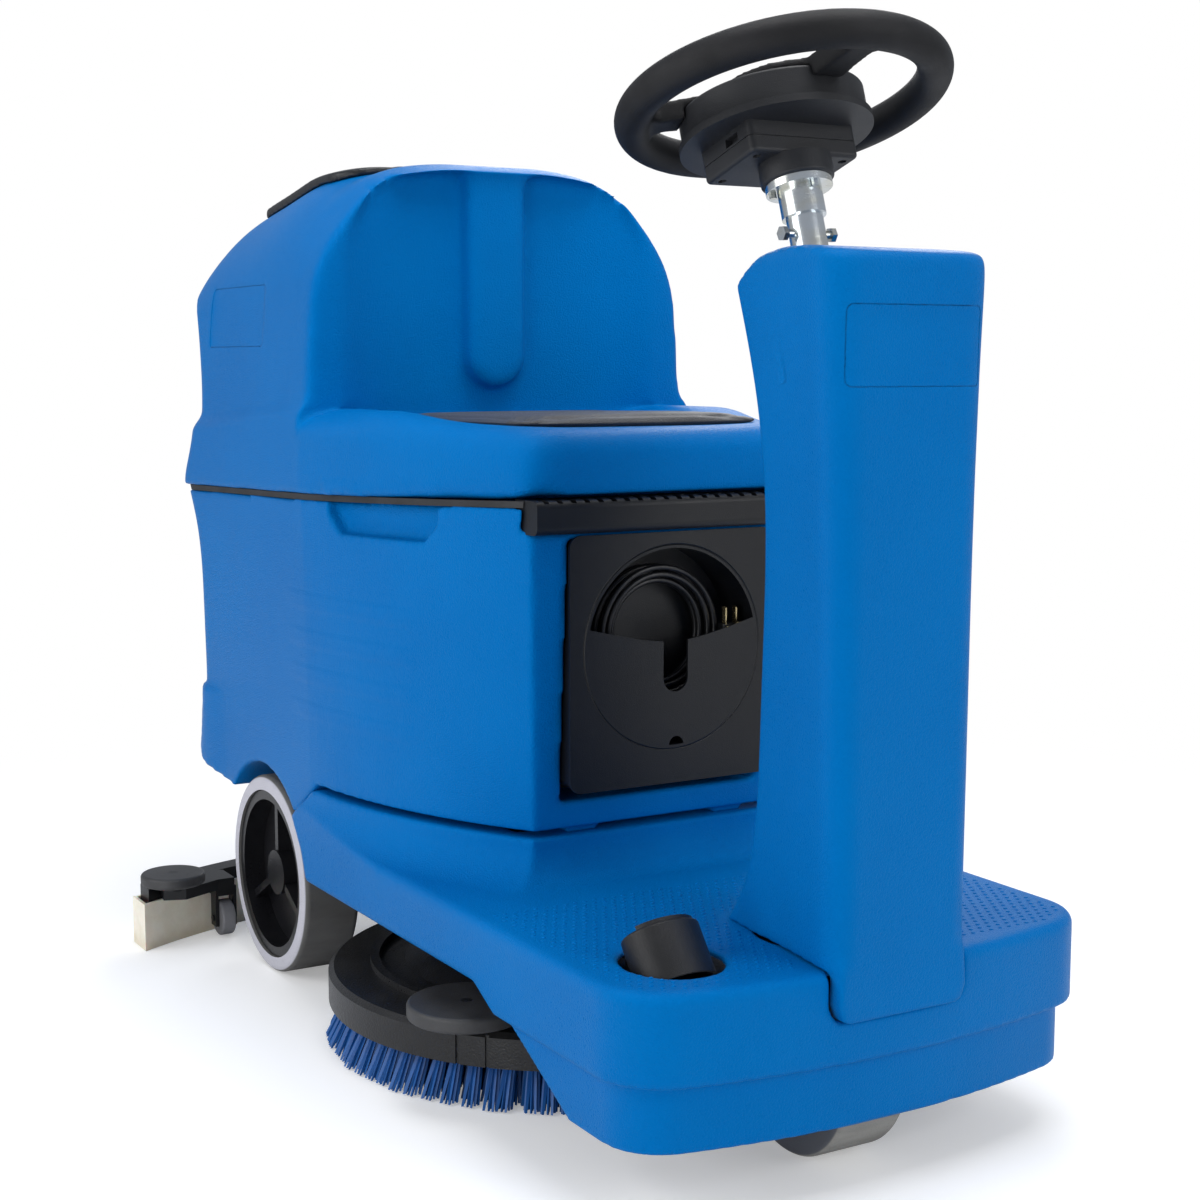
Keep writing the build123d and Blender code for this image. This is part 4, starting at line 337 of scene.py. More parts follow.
# %% Injection-moulded black
def moulded_black(name, tone, gloss=0.45, grain_per_metre=1100, grain_depth=0.0004, rubs=0.25, relief=None):
    red, green, blue_part = tone
    finish = Finish(name, {"Roughness": gloss, "IOR": 1.48, "Specular IOR Level": 0.4})
    grain = finish.noise(grain_per_metre, detail=2)
    dust = finish.noise(14, detail=5, rough=0.65).above(0.6, 0.3)
    dusty = linear(red * 1.35 + 9, green * 1.35 + 9, blue_part * 1.3 + 9)
    finish.feed("Base Color", finish.blend(dust * rubs, linear(*tone), dusty))
    finish.feed("Roughness", gloss + (grain - 0.5) * 0.16 + dust * 0.1)
    under = finish.bump(relief(finish), 0.0016, 1.0) if relief else None
    finish.feed("Normal", finish.bump(grain, grain_depth, 0.5, under=under))
    return finish.material


def pocket_ring(finish):
    """The round joint line between the charger pocket's cover and the panel, on the front face only."""
    x, z = finish.axis("X"), finish.axis("Z") - 0.445
    ring_radius = 0.107
    return ((x * x + z * z) ** 0.5 - ring_radius).size().above(0.0006, 0.0012)


panel_black = moulded_black("panel_black", (13, 14, 17), gloss=0.4)
console_charcoal = moulded_black("console_charcoal", (34, 35, 38), gloss=0.5, grain_per_metre=900)
hub_black = moulded_black("hub_black", (20, 20, 23), gloss=0.3, grain_per_metre=500, grain_depth=0.0003)
deck_black = moulded_black("deck_black", (30, 30, 31), gloss=0.3, grain_per_metre=420, grain_depth=0.0009, rubs=0.5)
pocket_black = moulded_black("pocket_black", (15, 16, 19), gloss=0.4, relief=pocket_ring)
lid_grey = moulded_black("lid_grey", (30, 31, 33), gloss=0.36, grain_per_metre=420, grain_depth=0.001)
battery_grey = moulded_black("battery_grey", (58, 60, 64), gloss=0.55, grain_per_metre=700)
brush_block_blue = moulded_black("brush_block_plastic", (32, 40, 60), gloss=0.5)
print("black plastics made")

# %% [markdown]
# ## Soft-touch rim
# The steering wheel's rim is skinned foam: matt, slightly warm black, with fine pores and a shine where hands rub
# it. The pores are a cell pattern, shallower than the grain of hard plastic.

# %% Soft-touch rim
rim_skin = Finish("soft_touch_rim", {"Roughness": 0.6, "IOR": 1.45, "Specular IOR Level": 0.32})
pores = rim_skin.cells(1500)
rubbed = rim_skin.noise(12, detail=3).above(0.55, 0.3)
rim_skin.feed("Base Color", rim_skin.blend(rubbed * 0.5, linear(17, 17, 19), linear(30, 30, 33)))
rim_skin.feed("Roughness", 0.62 - rubbed * 0.14)
rim_skin.feed("Normal", rim_skin.bump(pores, 0.0005, 0.4))
rim_material = rim_skin.material
print(rim_material.name)

# %% [markdown]
# ## Zinc-plated steel
# The steering pole and its flange are bright zinc with a clear blue passivation, which drifts towards straw yellow
# in places. Turned tube keeps faint rings, so the roughness is streaked across its length. The pole leans, and
# rings a hand wide apart would show that, so the streaks are stretched noise that reads well on either axis.


# %% Plated and coated steel
def plated_steel(name, bright=(216, 222, 226), straw=(206, 200, 176), gloss=0.2, along=(60, 60, 900)):
    finish = Finish(name, {"Metallic": 1.0, "Roughness": gloss})
    streaks = finish.noise(1, detail=3, stretch=along)
    drift = finish.noise(35, detail=2).above(0.52, 0.35)
    finish.feed("Base Color", finish.blend(drift * 0.55, linear(*bright), linear(*straw)))
    finish.feed("Roughness", gloss + (streaks - 0.5) * 0.2 + drift * 0.05)
    finish.feed("Normal", finish.bump(streaks, 0.0001, 0.3))
    return finish.material


def coated_steel(name, tone=(30, 31, 33), gloss=0.4):
    """Powder coat: a thick paint with an even pebble."""
    finish = Finish(name, {"Roughness": gloss, "Coat Weight": 0.2, "Coat Roughness": 0.3})
    pebble = finish.noise(700, detail=1)
    red, green, blue_part = tone
    scuffs = finish.noise(40, detail=6, rough=0.7).above(0.68, 0.1)
    worn = linear(red + 45, green + 44, blue_part + 42)
    finish.feed("Base Color", finish.blend(scuffs * 0.5, linear(*tone), worn))
    finish.feed("Roughness", gloss + (pebble - 0.5) * 0.2 + scuffs * 0.15)
    finish.feed("Normal", finish.bump(pebble, 0.0006, 0.5))
    return finish.material


zinc = plated_steel("zinc_plate")
blade_metal = plated_steel("plug_blade_brass", bright=(214, 196, 150), straw=(190, 168, 120), gloss=0.25)
black_steel = coated_steel("powder_coat_black")
motor_grey = coated_steel("motor_enamel", tone=(66, 68, 72), gloss=0.5)
print("metals made")

# %% [markdown]
# ## Tyres and rubber
# The rear tyres are solid grey polyurethane. Their flat sides were cast against a polished mould and are glossier,
# while the treads are ground and scuffed. Their side and tread colours are painted light and shade, so the finish
# asks
# each point which way it faces: the wheel turns about X, so a side faces along X. Both get dirt and fine dark specks.


# %% Tyres and rubber
# side and tread are painted light and shade, not two materials: the side colour is what a face along X shows lit or
# shaded, the tread colour what the tread shows.
def grey_tyre(name, side=(196, 195, 204), tread=(112, 111, 108)):
    finish = Finish(name, {"Roughness": 0.6, "IOR": 1.45})
    facing = finish.add("ShaderNodeTexCoord", output="Normal")
    sideways = finish.axis("X", facing).size().above(0.8, 0.2)
    specks = finish.noise(900, detail=2).above(0.62, 0.1)
    dirt = finish.noise(30, detail=6, rough=0.7)
    scuffed = finish.noise(60, detail=4, stretch=(0.25, 1, 1))
    tread_lighting_and_scuffs = finish.blend(scuffed, linear(*tread), linear(*(0.72 * part for part in tread)))
    # Faces along X get the painted side colour and the rest the painted tread colour, so this split is painted light
    # and shade.
    colour = finish.blend(sideways, tread_lighting_and_scuffs, linear(*side))
    finish.feed("Base Color", finish.blend(specks * 0.2 + dirt * 0.16, colour, linear(74, 72, 70)))
    finish.feed("Roughness", 0.72 - sideways * 0.2 + (scuffed - 0.5) * 0.15)
    finish.feed("Normal", finish.bump(scuffed * (1 - sideways) + specks * 0.25, 0.0006, 0.6))
    return finish.material


def rubber(name, tone, gloss=0.62, grain_per_metre=800):
    finish = Finish(name, {"Roughness": gloss, "IOR": 1.45})
    grain = finish.noise(grain_per_metre, detail=3)
    bloom = finish.noise(18, detail=5, rough=0.6).above(0.55, 0.35)
    red, green, blue_part = tone
    greyed = linear(red + 18, green + 18, blue_part + 18)
    finish.feed("Base Color", finish.blend(bloom * 0.6, linear(*tone), greyed))
    finish.feed("Roughness", gloss + (grain - 0.5) * 0.2)
    finish.feed("Normal", finish.bump(grain, 0.0005, 0.5))
    return finish.material


# The rear tyres' pale sides are painted light from the side lamp and their darker treads painted shade. The drive
# tyre's dark side is painted shade under the bumper and its pale tread painted light from the front.
tyre_grey = grey_tyre("rear_tyre_grey")
drive_tyre_grey = grey_tyre("drive_tyre_grey", side=(90, 93, 100), tread=(176, 174, 168))
black_rubber = rubber("black_rubber", (33, 33, 35))
pedal_rubber = rubber("pedal_rubber", (14, 14, 16), gloss=0.48)
roller_rubber = rubber("roller_rubber", (52, 52, 53), gloss=0.5)
caster_grey = rubber("caster_tread", (112, 112, 116), gloss=0.6)
cord_jacket = rubber("cord_jacket", (21, 21, 23), gloss=0.36, grain_per_metre=400)
print("rubbers made")

# %% [markdown]
# ## Squeegee blades
# The blades are cast polyurethane, the colour of candle wax. Light goes a little way into them, which subsurface
# scattering gives, and their working edges are stained.

# %% Squeegee blades
blade_finish = Finish(
    "squeegee_polyurethane",
    {"Roughness": 0.42, "IOR": 1.5, "Subsurface Weight": 0.25, "Subsurface Scale": 0.004},
)
stain = blade_finish.noise(45, detail=5, rough=0.65).above(0.5, 0.4)
low_edge = 1 - blade_finish.axis("Z").above(0.012, 0.02)
blade_finish.feed(
    "Base Color", blade_finish.blend(low_edge * 0.35 + stain * 0.22, linear(250, 242, 224), linear(206, 188, 156))
)
blade_finish.feed("Roughness", 0.4 + stain * 0.15)
blade_finish.feed("Normal", blade_finish.bump(blade_finish.noise(260, detail=2), 0.0005, 0.4))
blade_wax = blade_finish.material
print(blade_wax.name)

# %% [markdown]
# ## Bristles
# The bristles are blue nylon, bright where the light goes along them and nearly navy between the tufts. Height
# above the floor gives the change: the tips are scuffed pale and the roots sit in shade.

# %% Bristles
bristle_finish = Finish("blue_nylon", {"Roughness": 0.42, "IOR": 1.53, "Sheen Weight": 0.1})
tuft_tone = bristle_finish.noise(70, detail=3)
tip = 1 - bristle_finish.axis("Z").above(0.02, 0.03)
mid_blue = bristle_finish.blend(tuft_tone, linear(0, 60, 122), linear(2, 92, 168))
bristle_finish.feed("Base Color", bristle_finish.blend(tip * 0.3, mid_blue, linear(20, 104, 180)))
bristle_finish.feed("Roughness", 0.38 + tuft_tone * 0.2)
bristle_blue = bristle_finish.material
print(bristle_blue.name)

# %% [markdown]
# ## Seat vinyl
# The seat pad is black vinyl with a pebbled leather grain: cells with sunk edges. Where people slide on, its
# middle is polished.

# %% Seat vinyl
vinyl = Finish("seat_vinyl", {"Roughness": 0.5, "IOR": 1.5, "Sheen Weight": 0.12, "Sheen Roughness": 0.5})
pebbles = vinyl.cells(340, "DISTANCE_TO_EDGE").above(0.14, 0.24)
worn_middle = vinyl.noise(9, detail=3).above(0.5, 0.4)
vinyl.feed("Base Color", vinyl.blend(worn_middle * 0.5, linear(36, 36, 39), linear(50, 50, 53)))
vinyl.feed("Roughness", 0.56 - worn_middle * 0.12 - pebbles * 0.05)
vinyl.feed("Normal", vinyl.bump(pebbles, 0.0006, 0.55))
seat_vinyl = vinyl.material
print(seat_vinyl.name)

# %% [markdown]
# ## Dressing the frame
# Each piece of the frame takes the finish that the real one has. Whatever has no line here would stop the
# script, so no piece keeps a plain grey by mistake.

# %% Dress the frame
finish_of = {
    blue: ("platform_shell",),
    column_blue: ("column_shell",),
    tank_blue: ("solution_tank", "recovery_tank"),
    pocket_black: ("front_panel", "pocket_cover"),
    panel_black: (
        "seat_trim", "pole_bushing", "cord_grommet", "charger_plug",
        "float_cage", "charger", "squeegee_body", "squeegee_arm", "squeegee_pivot",
    ),
    console_charcoal: ("console_drum", "console_box", "speed_knob"),
    hub_black: ("rear_hub_left", "rear_hub_right", "drive_hub", "tank_hinge_pins"),
    deck_black: ("deck_housing",),
    lid_grey: ("tank_lid",),
    battery_grey: ("battery_left", "battery_right"),
    brush_block_blue: ("brush_block",),
    rim_material: ("steering_wheel",),
    zinc: ("steering_pole", "pole_flange", "pole_bolts", "console_screws", "rear_axle", "ignition_key"),
    blade_metal: ("plug_blades",),
    black_steel: ("main_frame", "slew_ring", "steer_fork", "lift_arms", "pedal_bracket"),
    motor_grey: ("drive_motor", "brush_motor", "vacuum_motor"),
    tyre_grey: ("rear_tyre_left", "rear_tyre_right"),
    drive_tyre_grey: ("drive_tyre",),
    black_rubber: ("tank_seal", "horn_button", "brush_button"),
    pedal_rubber: ("drive_pedal",),
    roller_rubber: ("guide_roller_left", "guide_roller_right", "deck_roller"),
    caster_grey: ("squeegee_caster_left", "squeegee_caster_right"),
    cord_jacket: ("charger_cord", "charger_cord_coil"),
    blade_wax: ("squeegee_blades",),
    bristle_blue: ("bristles",),
    seat_vinyl: ("seat_pad",),
}
for material, names in finish_of.items():
    for name in names:
        nodes[name].data.materials.clear()
        nodes[name].data.materials.append(material)
bare = set(nodes) - {name for names in finish_of.values() for name in names}
if bare:
    raise ValueError(f"no finish for {sorted(bare)}")
print(len(nodes), "pieces dressed in", len(finish_of), "finishes")

# %% [markdown]
# ## Making tools
# The soft and moulded pieces below start as copies of frame pieces, because the frame has their real sizes. A frame
# piece arrives as loose triangles, so its copy is merged first. Every operator acts on all that is selected, so
# each step selects its one object and nothing else.


def select_only(piece):
    bpy.ops.object.select_all(action="DESELECT")
    piece.select_set(True)
    bpy.context.view_layer.objects.active = piece


def apply_modifier(piece, kind, **settings):
    """Adds a modifier with these settings and applies it."""
    select_only(piece)
    modifier = piece.modifiers.new(kind.lower(), kind)
    for setting, value in settings.items():
        setattr(modifier, setting, value)
    bpy.ops.object.modifier_apply(modifier=modifier.name)


def copy_of(node, name):
    """A merged copy of a frame piece, as an object of its own."""
    piece = bpy.data.objects.new(name, nodes[node].data.copy())
    bpy.context.collection.objects.link(piece)
    select_only(piece)
    bpy.ops.object.mode_set(mode="EDIT")
    bpy.ops.mesh.select_all(action="SELECT")
    bpy.ops.mesh.remove_doubles(threshold=0.00002)
    bpy.ops.object.mode_set(mode="OBJECT")
    return piece


def weigh(piece, group_name, weight_at):
    """A vertex group whose weight at each point comes from a function of the point and its normal."""
    group = piece.vertex_groups.new(name=group_name)
    steps = {}
    for vertex in piece.data.vertices:
        steps.setdefault(round(weight_at(vertex.co, vertex.normal), 1), []).append(vertex.index)
    for weight, members in steps.items():
        if weight > 0:
            group.add(members, weight, "REPLACE")
    return group.name


def triangles(piece):
    return sum(len(face.vertices) - 2 for face in piece.data.polygons)


def dress(piece, material, node, angle=None):
    """The finish, smooth shading and the body that the piece rides on."""
    select_only(piece)
    if angle:
        bpy.ops.object.shade_smooth_by_angle(angle=radians(angle))
    else:
        bpy.ops.object.shade_smooth()
    piece.data.materials.clear()
    piece.data.materials.append(material)
    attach(piece, body_of_node[node])


axle = frame_box[1][1] - 0.293   # the rear axle's place along the machine


def behind(millimetres):
    """Frame Y of a point that far behind the rear axle; negative is ahead of it."""
    return axle + millimetres / 1000


print("rear axle at y", round(axle, 4))

# %% [markdown]
# ## Charging cord
# The mains lead is 6 mm of round rubber cord that hangs from the plug, dips, and is wound six times into the
# pocket. It is one NURBS curve with a round bevel: the control points of the two free ends are listed, and
# each turn has fourteen more. The turns lie side by side, a diameter apart, and change places low down, where the
# cover hides them. A curve is right for this, because its length and bends stay those of a real cord.

# %% Charging cord
tail_points = (
    (-0.070, behind(-482), 0.3860),
    (-0.050, behind(-481), 0.3865),
    (-0.030, behind(-480), 0.3920),
    (-0.014, behind(-479.5), 0.3925),
)
lead_points = (
    (0.020, behind(-484), 0.3855),
    (0.034, behind(-489), 0.3830),
    (0.051, behind(-496.5), 0.3810),
    (0.068, behind(-501), 0.3860),
    (0.080, behind(-504), 0.4010),
    (0.080, behind(-504), 0.4210),
)
coil_middle = (0.002, 0.456)
turns = (
    (0.0700, -471.5), (0.0626, -470.8), (0.0556, -472.8), (0.0556, -480.4), (0.0622, -487.0), (0.0702, -487.6)
)
points_a_turn = 14
share_of_change = 0.18   # of a turn, at each end
before_first, after_last = (0.0635, -479.5), (0.0760, -484.5)
stretch = 1.012   # a NURBS curve runs a little inside its control points
wander = Random(7)
coil_points = []
for step in range(1, points_a_turn * len(turns)):
    turn, part = divmod(step / points_a_turn, 1)
    turn = int(turn)
    radius, depth = turns[turn]
    if part < share_of_change:
        other = turns[turn - 1] if turn else before_first
        share = 0.5 - 0.5 * part / share_of_change
    elif part > 1 - share_of_change:
        other = turns[turn + 1] if turn + 1 < len(turns) else after_last
        share = 0.5 * (part - 1 + share_of_change) / share_of_change
    else:
        other, share = (radius, depth), 0
    radius += (other[0] - radius) * share
    depth += (other[1] - depth) * share
    radius += wander.uniform(-0.0004, 0.0004)
    radius *= stretch
    angle = radians(-90 + 360 * part)
    coil_points.append(
        (coil_middle[0] + radius * cos(angle), behind(depth), coil_middle[1] + radius * sin(angle))
    )
cord_points = (*tail_points, *coil_points, *lead_points)

lead_curve = bpy.data.curves.new("charging_lead", "CURVE")
lead_curve.dimensions = "3D"
spline = lead_curve.splines.new("NURBS")
spline.points.add(len(cord_points) - 1)
for point, place in zip(spline.points, cord_points):
    point.co = (*place, 1)
spline.order_u = 3
spline.use_endpoint_u = True
spline.resolution_u = 6
lead_curve.bevel_depth = 0.0031
lead_curve.bevel_resolution = 3
lead_curve.use_fill_caps = True
charging_lead = bpy.data.objects.new("charging_lead", lead_curve)
bpy.context.collection.objects.link(charging_lead)
lead_curve.materials.append(cord_jacket)
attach(charging_lead, "chassis")
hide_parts("charger_cord", "charger_cord_coil")
print(len(cord_points), "points in the charging lead")


# %% [markdown]
# ## Strain reliefs
# The cord leaves its gland and its plug through tapered rubber sleeves with ring grooves, which spread the bend.
# Each is a cone whose side is cut into rings, and every second ring is sunk.

# %% Strain reliefs
def strain_relief(name, start, end, thick, thin):
    """A grooved taper from one point to another, around the cord."""
    start, end = Vector(start), Vector(end)
    bpy.ops.object.select_all(action="DESELECT")
    rings = 9
    length = (end - start).length
    bpy.ops.mesh.primitive_cone_add(vertices=24, radius1=thick, radius2=thin, depth=length)
    relief = bpy.context.object
    relief.name = name
    mesh = bmesh.new()
    mesh.from_mesh(relief.data)
    for ring in range(1, rings * 2):
        height = -length / 2 + length * ring / (rings * 2)
        bmesh.ops.bisect_plane(
            mesh, geom=mesh.verts[:] + mesh.edges[:] + mesh.faces[:], plane_co=(0, 0, height), plane_no=(0, 0, 1)
        )
    for vertex in mesh.verts:
        share = (vertex.co.z + length / 2) / length
        groove = round(share * rings * 2)
        if 0.1 < share < 0.95 and groove % 2:
            vertex.co.xy *= 0.84
    mesh.to_mesh(relief.data)
    mesh.free()
    apply_modifier(relief, "BEVEL", width=0.0003, segments=2, limit_method="ANGLE")
    turn = Vector((0, 0, 1)).rotation_difference(end - start).to_matrix().to_4x4()
    relief.data.transform(Matrix.Translation((start + end) / 2) @ turn)
    dress(relief, black_rubber, "cord_grommet", 40)
    return relief


gland_relief = strain_relief(
    "gland_relief", (-0.0700, behind(-482), 0.3860), (-0.0490, behind(-481), 0.3868), 0.0058, 0.0037
)
plug_relief = strain_relief(
    "plug_relief", (0.080, behind(-504), 0.4222), (0.080, behind(-504), 0.4010), 0.0054, 0.0037
)
behind(-482)
print("reliefs", triangles(gland_relief), triangles(plug_relief), "triangles")

# %% [markdown]
# ## Moulded skins
# Roto-moulded parts have no sharp edge: the melt only coats the mould's inside, so every corner comes out round and
# walls run softly into each other. The frame's tanks are crisp, so their copies are remeshed on an even grid and
# relaxed. A few passes round all edges by some millimetres. Where the real edge is rolled wide, as round the
# backrest, a weighted second run of passes relaxes only that place. Flat faces don't need the grid's fineness, so
# Decimate thins the mesh at the end, flattest places first. Reshaping and weighing both call a function with each
# point and its normal. All new places are worked out before the first point moves, because a moved point makes
# Blender work out every normal again.


# %% Moulded skins
def smooth_step(value, start, end):
    """0 before start, 1 after end, and an even S between them."""
    share = min(max((value - start) / (end - start), 0), 1)
    return share * share * (3 - 2 * share)


def moulded_skin(node, name, grid, passes, finish, reshape=None, soft=(), budget=190000):
    """A remeshed and relaxed copy of a frame piece, within a budget of triangles, that is seen instead of it."""
    skin = copy_of(node, name)
    apply_modifier(skin, "REMESH", mode="VOXEL", voxel_size=grid)
    if reshape:
        moved = [reshape(vertex.co, vertex.normal) for vertex in skin.data.vertices]
        for vertex, place in zip(skin.data.vertices, moved):
            vertex.co = place
    apply_modifier(skin, "SMOOTH", factor=0.5, iterations=passes)
    for weight_at, soft_passes in soft:
        group = weigh(skin, weight_at.__name__, weight_at)
        apply_modifier(skin, "SMOOTH", factor=0.5, iterations=soft_passes, vertex_group=group)
    count = triangles(skin)
    if count > budget:
        apply_modifier(skin, "DECIMATE", ratio=budget / count)
    dress(skin, finish, node)
    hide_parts(node)
    print(name, count, "triangles, kept", triangles(skin))


# %% [markdown]
# ## Recovery tank
# The upper tank is also the seat. Its lower band stands out all round as a bumper, and the backrest above it is
# drawn in. The seat is dished across, and its side edges rise as a roll that holds the pad. These are slow changes
# of shape, so each is a smooth step or a power curve that moves the remeshed points. The backrest's rim is arched,
# and the knuckles of the lid's hinge are pressed down to lie behind it.


# %% Recovery tank
dish_depth = 0.0095
dish_half_width = 0.185
roll_height = 0.0085
waist_depth = 0.011
waist_rise = 0.024
knuckle_top = 0.9635


def seat_dish(x, y):
    """How far the seat is sunk, in metres: most in the middle, and more at the back than at the front edge."""
    across = max(1 - (x / dish_half_width) ** 4, 0)
    return dish_depth * across * (0.6 + 0.4 * smooth_step(y - axle, -0.47, -0.2))


def pressed_down(z):
    """The height of a hinge knuckle or arm once it is flattened."""
    return knuckle_top + 0.15 * (z - knuckle_top)


def tank_form(point, normal):
    x, y, z = point
    back = y - axle
    # The waist above the band; the backrest stands on it, and the seat ahead of it keeps its width.
    if back > -0.16:
        band_top = 0.650 + 0.026 * smooth_step(-back, -0.25, 0.146)
        drawn_in = smooth_step(z, band_top, band_top + waist_rise) * smooth_step(abs(x), 0.15, 0.23)
        x -= waist_depth * drawn_in * (1 if x > 0 else -1)
    # The seat's top face, with its dish and side rolls.
    if 0.660 < z < 0.684 and back < -0.100:
        z -= seat_dish(x, y)
        roll = smooth_step(abs(x), 0.158, 0.195) * (1 - smooth_step(abs(x), 0.215, 0.245))
        z += roll_height * roll * smooth_step(back, -0.42, -0.30) * (1 - smooth_step(back, -0.17, -0.12))
    # The hinge's knuckles, and then the arch of the backrest's rim, which starts ahead of them.
    if z > knuckle_top and back > -0.085:
        z = pressed_down(z)
    if z > 0.90:
        arch = 0.022 - 0.015 * smooth_step(abs(x), 0.05, 0.20)
        z += arch * smooth_step(z, 0.90, 0.94) * (1 - smooth_step(back, -0.112, -0.068))
    return Vector((x, y, z))


def rolled_edge(point, normal):
    """How wide an edge is rolled: the backrest's front rim, the ridge in its hollow and the seat's front edge."""
    back, z = point.y - axle, point.z
    above_seat = 0.690
    if z > above_seat:
        rim = 1 - min(abs(back + 0.142) / 0.05, 1)
        ridge = (1 - min(abs(point.x) / 0.06, 1)) * (1 if back < -0.06 and z < 0.93 else 0)
        return max(rim, ridge) ** 0.5
    return smooth_step(z, 0.63, 0.65) * (1 - smooth_step(back, -0.44, -0.38))


def seat_corner(point, normal):
    """The seat's front corners, rounded widely above the crisp line of the band's lower edge."""
    beside = smooth_step(abs(point.x), 0.12, 0.17)
    ahead = 1 - smooth_step(point.y - axle, -0.38, -0.26)
    return beside * ahead * smooth_step(point.z, 0.584, 0.615)


moulded_skin(
    "recovery_tank", "recovery_tank_skin", 0.0036, 4, tank_blue, tank_form,
    soft=((rolled_edge, 55), (seat_corner, 220)),
)

# %% [markdown]
# ## Solution tank, platform and column
# The solution tank stands out in a low band at its rear. The column's top and upright edges are rolled over a wide
# radius. Its front joins the platform's bumper in a narrow dark line, so its foot is let down into the notch. The
# other edges only get the melt's small radius.


# %% Solution tank, platform and column
def base_band(point, normal):
    """Walls that face back or sideways move out by 6 mm, low down and behind the wheels."""
    x, y, z = point
    back = y - axle
    outward = 0.006 * (1 - smooth_step(z, 0.322, 0.330)) * smooth_step(back, 0.12, 0.19)
    if abs(normal.y) > 0.5 and back > 0.2:
        y += outward
    if abs(normal.x) > 0.5 and abs(x) > 0.2:
        x += outward if x > 0 else -outward
    return Vector((x, y, z))


def column_form(point, normal):
    """The foot, let down by 3.5 mm."""
    x, y, z = point
    foot_top = 0.1735
    if z < foot_top:
        z -= 0.0035
    return Vector((x, y, z))


def column_top(point, normal):
    """The column's rolled top."""
    return smooth_step(point.z, 0.800, 0.830)


def column_front(point, normal):
    """The column's upright front edges, above the platform."""
    ahead = 1 - smooth_step(point.y, -0.48, -0.45)
    beside = smooth_step(abs(point.x), 0.05, 0.07)
    return ahead * beside * smooth_step(point.z, 0.18, 0.24)


moulded_skin("solution_tank", "solution_tank_skin", 0.0037, 3, tank_blue, base_band)
moulded_skin("platform_shell", "platform_skin", 0.0032, 4, blue)
moulded_skin(
    "column_shell", "column_skin", 0.0026, 4, column_blue, column_form,
    soft=((column_top, 55), (column_front, 45)),
)

# %% [markdown]
# ## Lid
# The black lid over the tank's top is a thin moulded shell with soft edges. Its hinge arms are pressed down like
# the tank's knuckles, and the rest of its crown is a quarter flatter.


# %% Lid
def lid_form(point, normal):
    x, y, z = point
    arms_end, crown_foot = -0.058, 0.955
    if z > knuckle_top and y - axle < arms_end:
        z = pressed_down(z)
    elif z > crown_foot:
        z = crown_foot + 0.75 * (z - crown_foot)
    return Vector((x, y, z))


moulded_skin("tank_lid", "tank_lid_skin", 0.0026, 4, lid_grey, lid_form)

# %% [markdown]
# ## Steering wheel rim
# The rim, its spokes and the ring that carries them are moulded in one piece, and the spokes flare into the rim
# without an edge. The same remesh and relaxing gives that, on a finer grid.

# %% Steering wheel rim
wheel_skin = copy_of("steering_wheel", "steering_wheel_skin")
apply_modifier(wheel_skin, "REMESH", mode="VOXEL", voxel_size=0.0022)
apply_modifier(wheel_skin, "SMOOTH", factor=0.5, iterations=9)
dress(wheel_skin, rim_material, "steering_wheel")
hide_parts("steering_wheel")
print("steering wheel", triangles(wheel_skin), "triangles")

# %% [markdown]
# ## Raised dots
# The driver's platform has low oval dots in staggered rows on both sides of the column, to keep shoes from
# slipping. One dot is a small sphere, flattened and cut to its cap. It is copied to each place that lies on the
# flat of the platform, well clear of the column, the pedal and the edges, which rays and nearest points tell.

# %% Raised dots
bpy.ops.object.select_all(action="DESELECT")
bpy.ops.mesh.primitive_uv_sphere_add(segments=10, ring_count=6, radius=0.0026)
dot_pattern = bpy.context.object
bpy.ops.object.mode_set(mode="EDIT")
bpy.ops.mesh.select_all(action="SELECT")
bpy.ops.mesh.bisect(plane_co=(0, 0, 0), plane_no=(0, 0, 1), clear_inner=True, use_fill=True)
bpy.ops.object.mode_set(mode="OBJECT")
dot_pattern.data.transform(Matrix.Diagonal((1.0, 0.8, 0.46, 1)))


def tree_of(*names):
    """Nearest-point and ray lookup in the meshes of some pieces."""
    mesh = bmesh.new()
    for name in names:
        mesh.from_mesh(nodes[name].data)
    tree = BVHTree.FromBMesh(mesh)
    mesh.free()
    return tree


platform_tree = tree_of("platform_shell")
standing_tree = tree_of("column_shell", "drive_pedal", "pedal_bracket")
tread_height = 0.210


def flat_here(x, y):
    """Whether a dot at that place stands on the flat tread, more than 9 mm from whatever stands on it."""
    for dx, dy in ((0, 0), (0.007, 0), (-0.007, 0), (0, 0.007), (0, -0.007)):
        hit, normal = platform_tree.ray_cast(Vector((x + dx, y + dy, 0.26)), Vector((0, 0, -1)))[:2]
        if hit is None or abs(hit.z - tread_height) > 0.0003:
            return False
    near = standing_tree.find_nearest(Vector((x, y, tread_height)))
    return near[3] > 0.009


row_pitch, dot_pitch = 0.0095, 0.011
field_half_width = 0.243
dots = bmesh.new()
for row in range(30):
    y = behind(-858) + row_pitch * row
    for column in range(46):
        x = -0.2475 + dot_pitch * column + (dot_pitch / 2 if row % 2 else 0)
        if abs(x) < field_half_width and flat_here(x, y):
            before = len(dots.verts)
            dots.from_mesh(dot_pattern.data)
            dots.verts.ensure_lookup_table()
            bmesh.ops.translate(dots, verts=dots.verts[before:], vec=(x, y, tread_height - 0.0002))
deck_dots = bpy.data.objects.new("platform_dots", bpy.data.meshes.new("platform_dots"))
bpy.context.collection.objects.link(deck_dots)
dots.to_mesh(deck_dots.data)
dots.free()
bpy.data.objects.remove(dot_pattern)
dress(deck_dots, blue, "platform_shell")
print(triangles(deck_dots), "triangles of dots")

